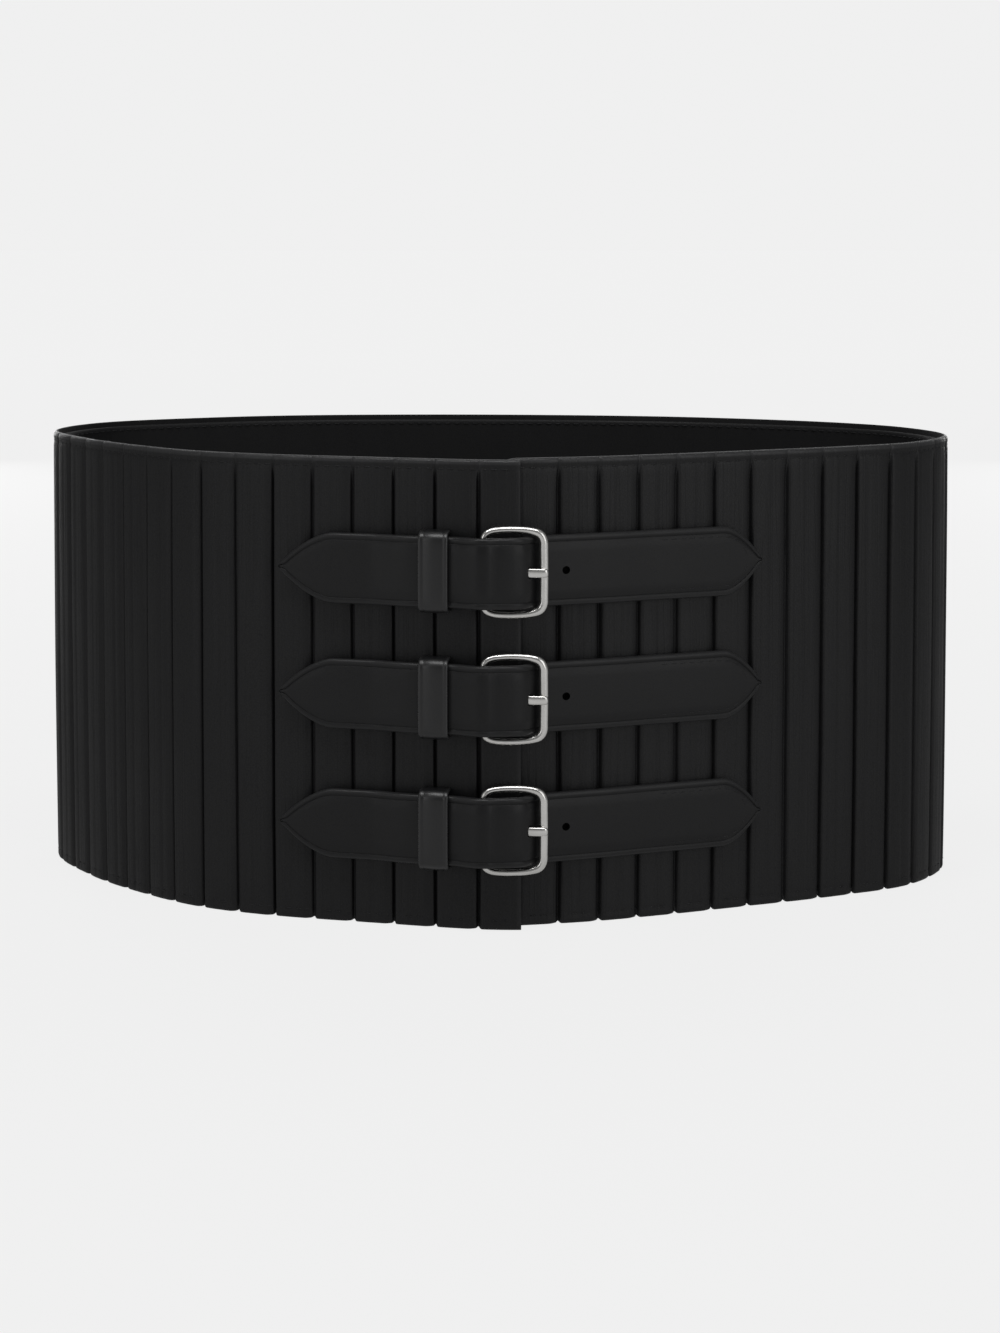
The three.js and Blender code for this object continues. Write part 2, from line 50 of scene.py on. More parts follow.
BELT_WIDTH = 288 * MM
BELT_DEPTH = 183 * MM
BELT_HEIGHT = 140 * MM
FOOT_FLARE = 1.0 * MM
LEATHER = 2.0 * MM
LINING = 1.0 * MM
GAP = 0.3 * MM
WALL = LEATHER + GAP + LINING
LAP_EDGE = 8.1 * MM
LAP = 51.1 * MM
LAP_LIFT = 6.2 * MM
LIFT_REACH = 56 * MM
LIFT_BEND = 1.8
TUCK_EASE = 0.5 * MM
PLEATS = 62
FIRST_PLEAT = 11.3 * MM  # from the lap's free edge to the first groove
GROOVE_DEPTH = 1.2 * MM
GROOVE_HALF = 0.44 * MM
FOLD_DROP = 0.28 * MM  # the folded edge at a groove's right
FOLD_REACH = 1.3 * MM
SLOPE_DROP = 0.65 * MM  # the leather that runs in under it from the left
SLOPE_REACH = 3.4 * MM
TUCK_CREASE = 0.3 * MM  # the shallow second crease inside a pleat, at its deepest
CROWN = 0.2 * MM  # a pleat's middle above its sides
PLEAT_TILT = 0.6 * MM  # how far one side of a pleat may stand above the other
TILT_EASE = 1.4 * MM
TIGHTNESS, CREASE_PLACE, CREASE_DEPTH, TILT = 2.2, 7.1, 5.3, 3.3  # seeds of what differs by pleat
SHALLOW = 0.72  # the slackest groove's depth, of the tightest one's
SLACK, TIGHT = 1.25, 0.85  # half widths of the slackest and tightest groove, of GROOVE_HALF
EASE_BEND = 1.4
CREASE_FROM, CREASE_SPREAD = 0.42, 0.3  # of the pitch: where the second crease may lie
CREASE_STEEP, CREASE_GENTLE = 0.35 * MM, 1.5 * MM
SIDE_DRIFT = 0.32 * MM
UNEVEN = 0.1 * MM
RIM_FLAT, RIM_FULL = 1.6 * MM, 8.0 * MM  # below the rim: where the grooves start and are whole
FOOT_FLAT, FOOT_FULL = 0.4 * MM, 3.0 * MM
RIM_LEFT, FOOT_LEFT = 0.12, 0.6  # shares of a groove's depth left at rim and foot
SEAM_IN = 2.9 * MM  # rim to the row of stitches
SEAM_HALF = 0.7 * MM
RIM_SEAM, FOOT_SEAM = 0.22 * MM, 0.07 * MM  # how deep the two rows of stitches pull in
FOOT_TURN = 0.9 * MM
FOOT_NOTCH = 0.75 * MM  # how far the foot's edge rises at a groove, at the most
NOTCH_REACH = 5 * MM
HIDDEN_DIP = 1.5 * MM  # the right front's rim below the left front's, where it runs under it

PLAN = (  # across is of half the width, back is of the depth, from the front's middle
    (0.0, 0.0),
    (0.109, 0.0155),
    (0.2225, 0.0405),
    (0.366, 0.088),
    (0.525, 0.149),
    (0.759, 0.2445),
    (0.919, 0.335),
    (1.014, 0.506),
    (0.942, 0.6815),
    (0.802, 0.796),
    (0.571, 0.899),
    (0.354, 0.958),
    (-0.05, 0.998),
    (-0.462, 0.977),
    (-0.696, 0.9085),
    (-0.9075, 0.792),
    (-0.986, 0.614),
    (-0.886, 0.413),
    (-0.7535, 0.264),
    (-0.619, 0.1545),
    (-0.4645, 0.0865),
    (-0.181, 0.0185),
)


def smooth_loop(corners, steps=80):
    """A closed curve through corners: a point and a direction for a length, and its length."""
    count = len(corners)
    points = []
    for i in range(count):
        p = [corners[(i + k) % count] for k in (-1, 0, 1, 2)]
        d = [math.sqrt((b - a).length) for a, b in zip(p, p[1:])]
        start = (p[1] - p[0]) / d[0] - (p[2] - p[0]) / (d[0] + d[1]) + (p[2] - p[1]) / d[1]
        end = (p[2] - p[1]) / d[1] - (p[3] - p[1]) / (d[1] + d[2]) + (p[3] - p[2]) / d[2]
        start, end = start * d[1], end * d[1]
        for k in range(steps):
            t = k / steps
            bend = (2 * start + end) * -1 + 3 * (p[2] - p[1])
            rest = start + end + 2 * (p[1] - p[2])
            points.append(p[1] + start * t + bend * t**2 + rest * t**3)
    lengths = [0.0]
    for a, b in zip(points, points[1:] + points[:1]):
        lengths.append(lengths[-1] + (b - a).length)
    total = lengths[-1]
    size = len(points)
    directions = [(points[(i + 1) % size] - points[i - 1]).normalized() for i in range(size)]

    def at(length):
        length %= total
        i = min(bisect_right(lengths, length) - 1, size - 1)
        share = (length - lengths[i]) / (lengths[i + 1] - lengths[i])
        after = (i + 1) % size
        along = directions[i].lerp(directions[after], share)
        return points[i].lerp(points[after], share), along.normalized()

    return at, total


plan, LOOP = smooth_loop([Vector((a * BELT_WIDTH / 2, b * BELT_DEPTH, 0)) for a, b in PLAN])
BAND = LOOP + LAP
PITCH = (BAND - FIRST_PLEAT) / (PLEATS - 1)
shift = Vector((0, 0, 0))


def smoothstep(low, high, x):
    t = min(max((x - low) / (high - low), 0.0), 1.0)
    return t * t * (3 - 2 * t)


def outward(along):
    """The way out of the belt, square to a direction along it."""
    return Vector((along.y, -along.x, 0))


def lean(z):
    """How far the band stands out at a height, as it widens to the foot."""
    return FOOT_FLARE * (1 - (z / BELT_HEIGHT) ** 2)


def place(s, out, z):
    """The point at a length right of the front's middle, a distance out, and a height."""
    at, along = plan(s)
    return at + outward(along) * (out + lean(z)) + Vector((0, 0, z)) + shift


def lift(d):
    """How far the left front rises off the line, at a length left of the lap edge."""
    return LAP_LIFT * (1 - d / LIFT_REACH) ** LIFT_BEND if d < LIFT_REACH else 0.0


def tuck(d):
    """How far the right front is pressed in below the left front."""
    return TUCK_EASE * math.log1p(math.exp((WALL + 2 * GAP - lift(d)) / TUCK_EASE))


def band_face(d):
    """The band's outer face out from its line, at a length left of the lap edge."""
    under = d - LOOP
    return lift(d) - (tuck(under) if under > -LIFT_REACH else 0.0)


along_foot = [BAND * i / 900 for i in range(901)]
foot = [place(LAP_EDGE - d, band_face(d), 0) for d in along_foot]
low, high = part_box("pleated_wrap")
for axis in (0, 1):
    own = [p[axis] for p in foot]
    shift[axis] = (low[axis] + high[axis] - min(own) - max(own)) / 2


def as_piece(name, vertices, faces, **attributes):
    """A smooth object with outward faces. An attribute has a number or a row for each vertex."""
    mesh = bpy.data.meshes.new(name)
    mesh.from_pydata(vertices, [], faces)
    for label, values in attributes.items():
        if isinstance(values[0], tuple):
            layer = mesh.attributes.new(label, "FLOAT_VECTOR", "POINT")
            layer.data.foreach_set("vector", [c for value in values for c in value])
        else:
            layer = mesh.attributes.new(label, "FLOAT", "POINT")
            layer.data.foreach_set("value", values)
    shape = bmesh.new()
    shape.from_mesh(mesh)
    bmesh.ops.triangulate(shape, faces=[f for f in shape.faces if len(f.verts) > 4])
    bmesh.ops.recalc_face_normals(shape, faces=shape.faces)
    shape.to_mesh(mesh)
    shape.free()
    mesh.shade_smooth()
    piece = bpy.data.objects.new(name, mesh)
    bpy.context.scene.collection.objects.link(piece)
    return piece


def skin(name, rings, put, closed=False):
    """A closed mesh through rings of rows (along, out, up, edge), each put in place by put."""
    count = len(rings[0])
    rows = [row for ring in rings for row in ring]
    faces = []
    for i in range(len(rings) if closed else len(rings) - 1):
        a, b = i * count, (i + 1) % len(rings) * count
        for k in range(count):
            m = (k + 1) % count
            faces.append((a + k, b + k, b + m, a + m))
    if not closed:
        last = len(rows) - count
        faces.append(tuple(range(count)))
        faces.append(tuple(range(last + count - 1, last - 1, -1)))
    flat, edge = [tuple(row[:3]) for row in rows], [row[3] for row in rows]
    return as_piece(name, [put(*row) for row in flat], faces, flat=flat, edge=edge)


def dress(piece, material, slot, *nodes):
    """Gives a piece its material and body, and hides the solids it stands for. The slot is not
    used.
    """
    piece.data.materials.clear()
    piece.data.materials.append(material)
    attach(piece, "root")
    if nodes:
        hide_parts(*nodes)
    return piece


def pleat_start(k):
    """Where a pleat begins, as a length left of the lap edge."""
    return FIRST_PLEAT + (k - 1) * PITCH if k else 0.0


def chance(k, seed):
    """A number from 0 to 1 of a pleat's own."""
    return min(max(0.5 + 0.9 * noise.noise(Vector((k * 3.7, seed, 0.6))), 0.0), 1.0)


def groove(k, x):
    """How far the leather lies below the crown beside groove k, at a length left of it."""
    tight = chance(k, TIGHTNESS)
    deep = GROOVE_DEPTH * (SHALLOW + (1 - SHALLOW) * tight)
    half = GROOVE_HALF * (SLACK + (TIGHT - SLACK) * tight)
    slot = deep * math.exp(-((x / half) ** 2))
    if x > 0:
        return slot + SLOPE_DROP * (1 - smoothstep(0, SLOPE_REACH, x)) ** EASE_BEND
    fold = FOLD_DROP * (1 - smoothstep(0, FOLD_REACH, -x)) ** EASE_BEND
    return slot + fold + (SLOPE_DROP - FOLD_DROP) * slot / GROOVE_DEPTH


def below_crown(k, x):
    """The same for a place in pleat k, from the nearer of its two grooves."""
    return groove(k, x) if x < PITCH / 2 else groove(k + 1, x - PITCH)


def wander(k, z):
    """A groove's small sideways drift over its height."""
    return SIDE_DRIFT * noise.noise(Vector((k * 7.3, z * 14, 1.7)))


def pleat_face(k, x, z):
    """The outer face below the crown in a pleat, x left of groove k, with its small unevenness."""
    near = below_crown(k, x)
    creased = x - PITCH * (CREASE_FROM + CREASE_SPREAD * chance(k, CREASE_PLACE))
    width = CREASE_STEEP if creased > 0 else CREASE_GENTLE
    near += TUCK_CREASE * chance(k, CREASE_DEPTH) * math.exp(-abs(creased) / width)
    at_rim = smoothstep(RIM_FLAT, RIM_FULL, BELT_HEIGHT - z)
    ends = min(at_rim, FOOT_LEFT + smoothstep(FOOT_FLAT, FOOT_FULL, z), 1.0)
    seam = RIM_SEAM * math.exp(-(((BELT_HEIGHT - z - SEAM_IN) / SEAM_HALF) ** 2))
    seam += FOOT_SEAM * math.exp(-(((z - SEAM_IN) / SEAM_HALF) ** 2))
    crown = CROWN * (2 * x / PITCH - 1) ** 2
    tilt = PLEAT_TILT * (chance(k, TILT) - 0.5) * (x / PITCH - 0.5)
    tilt *= smoothstep(0, TILT_EASE, min(x, PITCH - x))
    uneven = UNEVEN * (1 + noise.noise(Vector((k * 5.1 + x * 90, z * 17, 0.3))))
    return near * (RIM_LEFT + (1 - RIM_LEFT) * ends) + seam + crown + tilt * ends + uneven


half_columns = (0.14, 0.28, 0.42, 0.6, 0.85, 1.2, 1.8, 2.5, 3.3, 4.1, 4.7, 5.2, 5.7)
half_columns = [c * MM for c in half_columns]
pleat_columns = [0.0, *half_columns, PITCH / 2, *[PITCH - c for c in reversed(half_columns)]]
rim_steps = [c * MM for c in (1.3, 1.8, 2.3, 2.6, 2.9, 3.2, 3.5, 4.3, 6.0, 9.0)]
levels = [BELT_HEIGHT - c for c in rim_steps]
levels += [BELT_HEIGHT * c / 14 for c in range(12, 0, -1)]
levels += [*[c * MM for c in (6.0, 4.3, 3.5, 3.2, 2.9, 2.6, 2.3, 1.6)], FOOT_TURN]
RIM_TURN = (  # back is a share of the wall, drop is in mm
    (0.72, 0.03),
    (0.48, 0.12),
    (0.28, 0.3),
    (0.13, 0.56),
    (0.04, 0.86),
)
END_ROUND = (  # along is from a cut end, pinch is how much thinner each side is there, in mm
    (0.0, 0.75),
    (0.12, 0.42),
    (0.3, 0.2),
    (0.6, 0.06),
    (1.2, 0.0),
)
DIP_FROM, DIP_TO = LOOP - 1 * MM, LOOP + 9 * MM
RIM_RUB_HIGHLIGHT_FROM, RIM_RUB_HIGHLIGHT_TO = 1.1 * MM, 2.0 * MM  # below the rim: where its rubbed edge and painted highlight fade
# Lighter tone at the lap's cut end, along each groove's folded edge and at the foot; the first two
# are partly painted highlight.
END_RUB_HIGHLIGHT, FOLD_HIGHLIGHT_RUB, FOOT_RUB = 0.4, 0.55, 0.2
FOLD_HIGHLIGHT_HALF = 0.9 * MM
SHADED_MATT_BACK = -1.0  # the edge mask's mark for the leather's matt back, which is also painted darker as shade
INNER_ROUND, INNER_BEVEL = 0.4 * MM, 0.12 * MM  # where the rim turns into that back
COLUMN_CLEAR, CUT_ROOM = 0.4 * MM, 2 * MM  # kept free of columns beside the two cut ends
FOOT_ARC = (35, 70, 110, 145)  # degrees round the foot's turned edge


def wrap_ring(k, x):
    """An upright section of the band: its back, over the rim, its face, round the foot."""
    d = pleat_start(k) + x - (0 if k else PITCH - FIRST_PLEAT)
    from_end = min(d, BAND - d)
    pinch = 0.0
    for (a, pa), (b, pb) in zip(END_ROUND, END_ROUND[1:]):
        if a * MM <= from_end < b * MM:
            share = (from_end / MM - a) / (b - a)
            pinch = (pa + (pb - pa) * share) * MM
    if from_end < PITCH / 3:
        x = PITCH / 2
    inner = -LEATHER + pinch
    face = band_face(d)
    at_end = END_RUB_HIGHLIGHT if pinch and d < PITCH else 0.0
    # A lighter line painted along each folded groove edge: painted highlight, partly rub.
    fold = FOLD_HIGHLIGHT_RUB * math.exp(-(((PITCH - x) / FOLD_HIGHLIGHT_HALF) ** 2)) if x > PITCH / 2 else 0.0
    sunk = HIDDEN_DIP * smoothstep(DIP_FROM, DIP_TO, d)
    notch = FOOT_NOTCH * below_crown(k, x) / (GROOVE_DEPTH + SLOPE_DROP)

    def row(out, z, edge):
        drift = wander(k, z) * (1 - x / PITCH) + wander(k + 1, z) * x / PITCH
        drift *= min(1.0, from_end / PITCH)
        edge = max(edge, at_end) if edge >= 0 else edge
        up = z * (1 - sunk / BELT_HEIGHT) + notch * (1 - smoothstep(0, NOTCH_REACH, z))
        return (LAP_EDGE - d - drift, face + out, up, edge)

    rows = [row(inner, z, SHADED_MATT_BACK) for z in (FOOT_TURN, BELT_HEIGHT / 2, BELT_HEIGHT - INNER_ROUND)]
    top = -pleat_face(k, x, BELT_HEIGHT) - pinch
    rows.append(row(inner + INNER_BEVEL, BELT_HEIGHT - INNER_BEVEL, SHADED_MATT_BACK))
    rows.append(row(inner + INNER_ROUND, BELT_HEIGHT, 0.8 * SHADED_MATT_BACK))
    # The rounded rim takes the full lighter tone: rubbed edge and painted highlight, fading below
    # it.
    for back, drop in RIM_TURN:
        out = top - back * (top - inner - INNER_ROUND)
        rows.append(row(out, BELT_HEIGHT - drop * MM, 1.0))
    for z in levels:
        edge = 1 - smoothstep(RIM_RUB_HIGHLIGHT_FROM, RIM_RUB_HIGHLIGHT_TO, BELT_HEIGHT - z)
        rows.append(row(-pleat_face(k, x, z) - pinch, z, max(edge, fold)))
    base = -pleat_face(k, x, 0) - pinch
    middle, reach = (base + inner) / 2, (base - inner) / 2
    for degrees in FOOT_ARC:
        a = math.radians(degrees)
        z = FOOT_TURN * (1 - math.sin(a) / math.sin(math.radians(FOOT_ARC[1])))
        rows.append(row(middle + reach * math.cos(a), z, FOOT_RUB))
    return rows


wrap_rings = []
for k in range(PLEATS):
    columns = pleat_columns
    if k == 0:
        cut_end = [PITCH - FIRST_PLEAT + e[0] * MM for e in END_ROUND[:-1]]
        columns = cut_end + [c for c in pleat_columns if c > cut_end[-1] + COLUMN_CLEAR]
    if k == PLEATS - 1:
        cut_end = [PITCH - e[0] * MM for e in reversed(END_ROUND[:-1])]
        columns = [c for c in pleat_columns if c < PITCH - CUT_ROOM] + cut_end
    wrap_rings += [wrap_ring(k, x) for x in columns]
wrap = skin("pleated_leather", wrap_rings, place)


def plug(tree, socket, value):
    """Links a socket to another, or sets it to a number or a colour."""
    if isinstance(value, bpy.types.NodeSocket):
        tree.links.new(value, socket)
    else:
        socket.default_value = value


def add_node(tree, kind, settings=None, **inputs):
    """A node with its settings, and with each named input set or linked."""
    node = tree.nodes.new(kind)
    for key, value in (settings or {}).items():
        setattr(node, key, value)
    for key, value in inputs.items():
        plug(tree, node.inputs[key.replace("_", " ")], value)
    return node


def calc(tree, operation, *values, clamp=False):
    """The result of a Math node on numbers or sockets."""
    node = tree.nodes.new("ShaderNodeMath")
    node.operation, node.use_clamp = operation, clamp
    for socket, value in zip(node.inputs, values):
        plug(tree, socket, value)
    return node.outputs[0]


def remap(tree, value, low, high, to_low, to_high):
    """A value taken from one range to another and kept inside it."""
    node = add_node(tree, "ShaderNodeMapRange", {"clamp": True}, Value=value)
    for socket, bound in zip(node.inputs[1:5], (low, high, to_low, to_high)):
        socket.default_value = bound
    return node.outputs[0]


def blend(tree, share, first, second):
    """Two colours mixed by a share."""
    node = tree.nodes.new("ShaderNodeMix")
    node.data_type = "RGBA"
    tree.links.new(share, node.inputs["Factor"])
    for socket, colour in zip((node.inputs[6], node.inputs[7]), (first, second)):
        plug(tree, socket, (*colour, 1) if isinstance(colour, tuple) else colour)
    return node.outputs[2]


def clouds(tree, at, scale, detail, roughness=0.5):
    """A noise texture."""
    values = {"Vector": at, "Scale": scale, "Detail": detail, "Roughness": roughness}
    return add_node(tree, "ShaderNodeTexNoise", **values)


def new_group(name, inputs, outputs):
    """An empty shader group with named sockets, and its two end nodes."""
    group = bpy.data.node_groups.new(name, "ShaderNodeTree")
    for label, default in inputs.items():
        settings = {"in_out": "INPUT", "socket_type": "NodeSocketFloat"}
        socket = group.interface.new_socket(name=label, **settings)
        socket.default_value = default
    for label in outputs:
        group.interface.new_socket(name=label, in_out="OUTPUT", socket_type="NodeSocketFloat")
    given = group.nodes.new("NodeGroupInput").outputs
    return group, given, group.nodes.new("NodeGroupOutput").inputs


def use_group(tree, group, **values):
    """The outputs of a node group, placed with values of its own."""
    node = tree.nodes.new("ShaderNodeGroup")
    node.node_tree = group
    for key, value in values.items():
        plug(tree, node.inputs[key.replace("_", " ")], value)
    return node.outputs


def new_material(name, **constants):
    """A material and its Principled shader, with what is the same all over set on its sockets."""
    material = bpy.data.materials.new(name)
    material.use_nodes = True
    shader = material.node_tree.nodes["Principled BSDF"]
    for key, value in constants.items():
        shader.inputs[key.replace("_", " ")].default_value = value
    return material, material.node_tree, shader


def feed(tree, shader, **sockets):
    """Links what changes over the surface to a shader."""
    for key, socket in sockets.items():
        tree.links.new(socket, shader.inputs[key.replace("_", " ")])


def raise_by(tree, shader, height, distance):
    """Relief from a height between 0 and 1 that stands for a real distance."""
    bump = add_node(tree, "ShaderNodeBump", Distance=distance, Strength=1.0, Height=height)
    tree.links.new(bump.outputs[0], shader.inputs["Normal"])


def make_grain():
    """Leather grain: small pebbles with fine valleys between, and pores."""
    inputs = {"Pebble Size": 0.0008, "Valleys": 0.6}
    group, given, result = new_group("leather grain", inputs, ("Height", "Valley Mask"))
    at = group.nodes.new("ShaderNodeTexCoord").outputs["Object"]
    per_metre = calc(group, "DIVIDE", 1.0, given["Pebble Size"])
    drift = clouds(group, at, 260.0, 2.0)
    push = add_node(
        group,
        "ShaderNodeVectorMath",
        {"operation": "SCALE"},
        Vector=drift.outputs["Color"],
        Scale=0.0005,
    )
    moved = add_node(group, "ShaderNodeVectorMath", {"operation": "ADD"})
    group.links.new(at, moved.inputs[0])
    group.links.new(push.outputs[0], moved.inputs[1])
    cells = add_node(
        group,
        "ShaderNodeTexVoronoi",
        {"feature": "DISTANCE_TO_EDGE"},
        Vector=moved.outputs[0],
        Scale=per_metre,
        Randomness=1.0,
    )
    valley = remap(group, cells.outputs["Distance"], 0.0, 0.16, 1.0, 0.0)
    fine = clouds(group, at, 2600.0, 3.0, 0.6)
    pebble = calc(group, "SUBTRACT", 1.0, calc(group, "MULTIPLY", valley, given["Valleys"]))
    pores = calc(group, "MULTIPLY", fine.outputs[0], 0.3)
    height = calc(group, "ADD", calc(group, "MULTIPLY", pebble, 0.7), pores)
    group.links.new(height, result["Height"])
    group.links.new(valley, result["Valley Mask"])
    return group


def make_streaks():
    """Fine upright creases that pressing leaves in a pleat, from the leather's own flat layout."""
    inputs = {"Crease Width": 0.0012, "Crease Length": 0.05}
    group, given, result = new_group("pressed creases", inputs, ("Height", "Crease Mask"))
    flat = add_node(group, "ShaderNodeAttribute", {"attribute_name": "flat"})
    parts = add_node(group, "ShaderNodeSeparateXYZ", Vector=flat.outputs["Vector"])
    across = calc(group, "DIVIDE", parts.outputs[0], given["Crease Width"])
    up = calc(group, "DIVIDE", parts.outputs[2], given["Crease Length"])
    across_up = add_node(group, "ShaderNodeCombineXYZ", X=across, Y=up).outputs[0]
    soft = clouds(group, across_up, 1.0, 3.0, 0.55)
    sharp = clouds(group, across_up, 0.45, 1.0)
    line = calc(group, "ABSOLUTE", calc(group, "SUBTRACT", sharp.outputs[0], 0.5))
    crease = remap(group, line, 0.0, 0.028, 1.0, 0.0)
    height = calc(group, "SUBTRACT", soft.outputs[0], calc(group, "MULTIPLY", crease, 0.35))
    group.links.new(height, result["Height"])
    group.links.new(crease, result["Crease Mask"])
    return group


def make_rub_and_highlight():
    """Where edges are rubbed and painted lighter as a highlight, from the mesh's edge mask and
    patches, and where the back shows.
    """
    inputs = {"Patch Size": 0.004, "Softness": 0.5}
    group, given, result = new_group("rubbed edges", inputs, ("Mask", "Back Shade Mask"))
    edge = add_node(group, "ShaderNodeAttribute", {"attribute_name": "edge"})
    at = group.nodes.new("ShaderNodeTexCoord").outputs["Object"]
    per_metre = calc(group, "DIVIDE", 1.0, given["Patch Size"])
    patches = clouds(group, at, per_metre, 3.0)
    patchy = calc(group, "SUBTRACT", patches.outputs[0], 0.35)
    drop = calc(group, "MULTIPLY", patchy, given["Softness"])
    mask = calc(group, "SUBTRACT", edge.outputs["Fac"], drop, clamp=True)
    group.links.new(calc(group, "MULTIPLY", mask, edge.outputs["Fac"]), result["Mask"])
    # The back mask: the leather's matt back, painted darker as shade.
    back = calc(group, "MULTIPLY", edge.outputs["Fac"], -1.0, clamp=True)
    group.links.new(back, result["Back Shade Mask"])
    return group


def make_handling():
    """The slow change of gloss that hands and dressing leave over a large surface."""
    inputs = {"Patch Size": 0.05}
    group, given, result = new_group("handled gloss", inputs, ("Value",))
    at = group.nodes.new("ShaderNodeTexCoord").outputs["Object"]
    per_metre = calc(group, "DIVIDE", 1.0, given["Patch Size"])
    slow = clouds(group, at, per_metre, 4.0, 0.55)
    group.links.new(remap(group, slow.outputs[0], 0.3, 0.7, 0.0, 1.0), result["Value"])
    return group


grain, streaks, rub_and_highlight_group, handling = make_grain(), make_streaks(), make_rub_and_highlight(), make_handling()
HANDLED_LIGHTER = 1.25
VALLEY_ROUGH, CREASE_ROUGH, BACK_ROUGH = 0.08, 0.05, 0.35  # added to the roughness there


def add_share(tree, value, mask, share):
    """A value with a share of a mask on top."""
    return calc(tree, "ADD", value, calc(tree, "MULTIPLY", mask, share))


def leather_finish(name, colours, gloss, pebble, relief, creases=0.0, **constants):
    """Dyed leather: grain, handled gloss, rubbed edges painted lighter as a highlight, and upright
    creases where it is pleated.
    """
    material, tree, shader = new_material(name, **constants)
    cells = use_group(tree, grain, Pebble_Size=pebble)
    handled = use_group(tree, handling)
    wear_and_highlight = use_group(tree, rub_and_highlight_group)
    deep, plain, rub_highlight = colours
    colour = blend(tree, handled["Value"], plain, tuple(c * HANDLED_LIGHTER for c in plain))
    colour = blend(tree, cells["Valley Mask"], colour, deep)
    # Rubbed edges take a lighter tone: part wear, part painted highlight.
    colour = blend(tree, wear_and_highlight["Mask"], colour, rub_highlight)
    # The inner face takes the deepest tone: painted shade on the matt back.
    colour = blend(tree, wear_and_highlight["Back Shade Mask"], colour, deep)
    rough = remap(tree, handled["Value"], 0.0, 1.0, gloss[0], gloss[1])
    rough = add_share(tree, rough, cells["Valley Mask"], VALLEY_ROUGH)
    rough = add_share(tree, rough, wear_and_highlight["Mask"], -gloss[2])
    rough = add_share(tree, rough, wear_and_highlight["Back Shade Mask"], BACK_ROUGH)
    height = cells["Height"]
    if creases:
        pressed = use_group(tree, streaks)
        height = add_share(tree, height, pressed["Height"], creases)
        rough = add_share(tree, rough, pressed["Crease Mask"], CREASE_ROUGH)
    feed(tree, shader, Base_Color=colour, Roughness=rough)
    raise_by(tree, shader, height, relief)
    return material


# The third tone, on rubbed edges, is lighter: part wear, part painted highlight.
pleat_finish = leather_finish(
    "pleated calf",
    colours=((0.0035, 0.0035, 0.004), (0.0058, 0.0058, 0.0064), (0.031, 0.031, 0.0322)),
    gloss=(0.42, 0.52, 0.16),
    pebble=0.75 * MM,
    relief=0.045 * MM,
    creases=2.4,
    Specular_IOR_Level=0.36,
)
dress(wrap, pleat_finish, "pleated_leather", "pleated_wrap")

# Lining.
# Smooth thin goatskin glued to the back of the pleats. It stops short of the rim and foot, where
# the pleated leather is turned over, and the pleats show through it as faint ripples.
LINING_STEP = 1.6 * MM
LINING_ROUND = 0.35 * MM
RIPPLE = 0.14 * MM
SLACK_LINING = 0.08 * MM  # how far it stands off here and there
RIPPLE_START = 5 * MM  # from its edges: where the ripples are whole
LINING_SHORT = 1.5 * MM  # from the lap's free edge
LINING_RUB_FROM, LINING_RUB_TO = 0.2 * MM, 1.2 * MM
lining_low, lining_high = LINING_STEP, BELT_HEIGHT - LINING_STEP


def lining_ring(k, share):
    """An upright section of the lining, rippled where a groove shows through."""
    d = pleat_start(k) + share * (pleat_start(k + 1) - pleat_start(k))
    face = band_face(d) - LEATHER - GAP
    ripple = RIPPLE * (0.5 + 0.5 * math.cos(2 * math.pi * share)) ** 3

    def row(out, z, edge):
        slow = 0.0
        if out < -LINING / 2:
            slow = SLACK_LINING * (1 + noise.noise(Vector((d * 40, z * 30, 4.2))))
        return (LAP_EDGE - d, face + out + slow, z, edge)

    rows = [row(0, lining_low + LINING_ROUND, 0), row(0, lining_high - LINING_ROUND, 0)]
    rows += [row(-LINING_ROUND, lining_high, 1), row(-LINING + LINING_ROUND, lining_high, 1)]
    inner = [lining_high - LINING_ROUND, lining_high - 1.2 * MM, lining_high - 2.4 * MM]
    inner += [lining_low + (lining_high - lining_low) * c / 12 for c in range(11, 0, -1)]
    inner += [lining_low + 2.4 * MM, lining_low + 1.2 * MM, lining_low + LINING_ROUND]
    for z in inner:
        from_edge = min(lining_high - z, z - lining_low)
        away = smoothstep(0, RIPPLE_START, from_edge)
        edge = 1 - smoothstep(LINING_RUB_FROM, LINING_RUB_TO, from_edge)
        rows.append(row(-LINING + ripple * away, z, edge))
    rows += [row(-LINING + LINING_ROUND, lining_low, 1), row(-LINING_ROUND, lining_low, 1)]
    return rows


lining_shares = (0, 0.04, 0.09, 0.16, 0.26, 0.42, 0.58, 0.74, 0.84, 0.91, 0.96)
lining_rings = [lining_ring(k, share) for k in range(PLEATS) for share in lining_shares]
lining_rings = [r for r in lining_rings if abs(r[0][0] - LAP_EDGE) > LINING_SHORT]
lining = skin("goatskin_lining", lining_rings, place)
lining_finish = leather_finish(
    "lining goatskin",
    colours=((0.0035, 0.0035, 0.004), (0.0058, 0.0058, 0.0064), (0.0095, 0.0095, 0.01)),
    gloss=(0.55, 0.66, 0.06),
    pebble=0.55 * MM,
    relief=0.03 * MM,
    Specular_IOR_Level=0.32,
)
dress(lining, lining_finish, "lining_leather", "lining")

# Rim and foot stitching.
# Black bonded thread through pleats and lining, four stitches to a pleat, close under the rim and
# above the foot. It holds the turned edges down and shows on both faces.
THREAD = 0.36 * MM
STITCH = (  # along is of the length, girth of the thread's, rise of half its thickness
    (-0.5, 0.35, -0.75),
    (-0.42, 0.85, -0.2),
    (-0.2, 1, 0.22),
    (0.2, 1, 0.22),
    (0.42, 0.85, -0.2),
    (0.5, 0.35, -0.75),
)
STITCHES = 4  # to a pleat
PIERCED = 0.16  # the share of a stitch's room left at each end


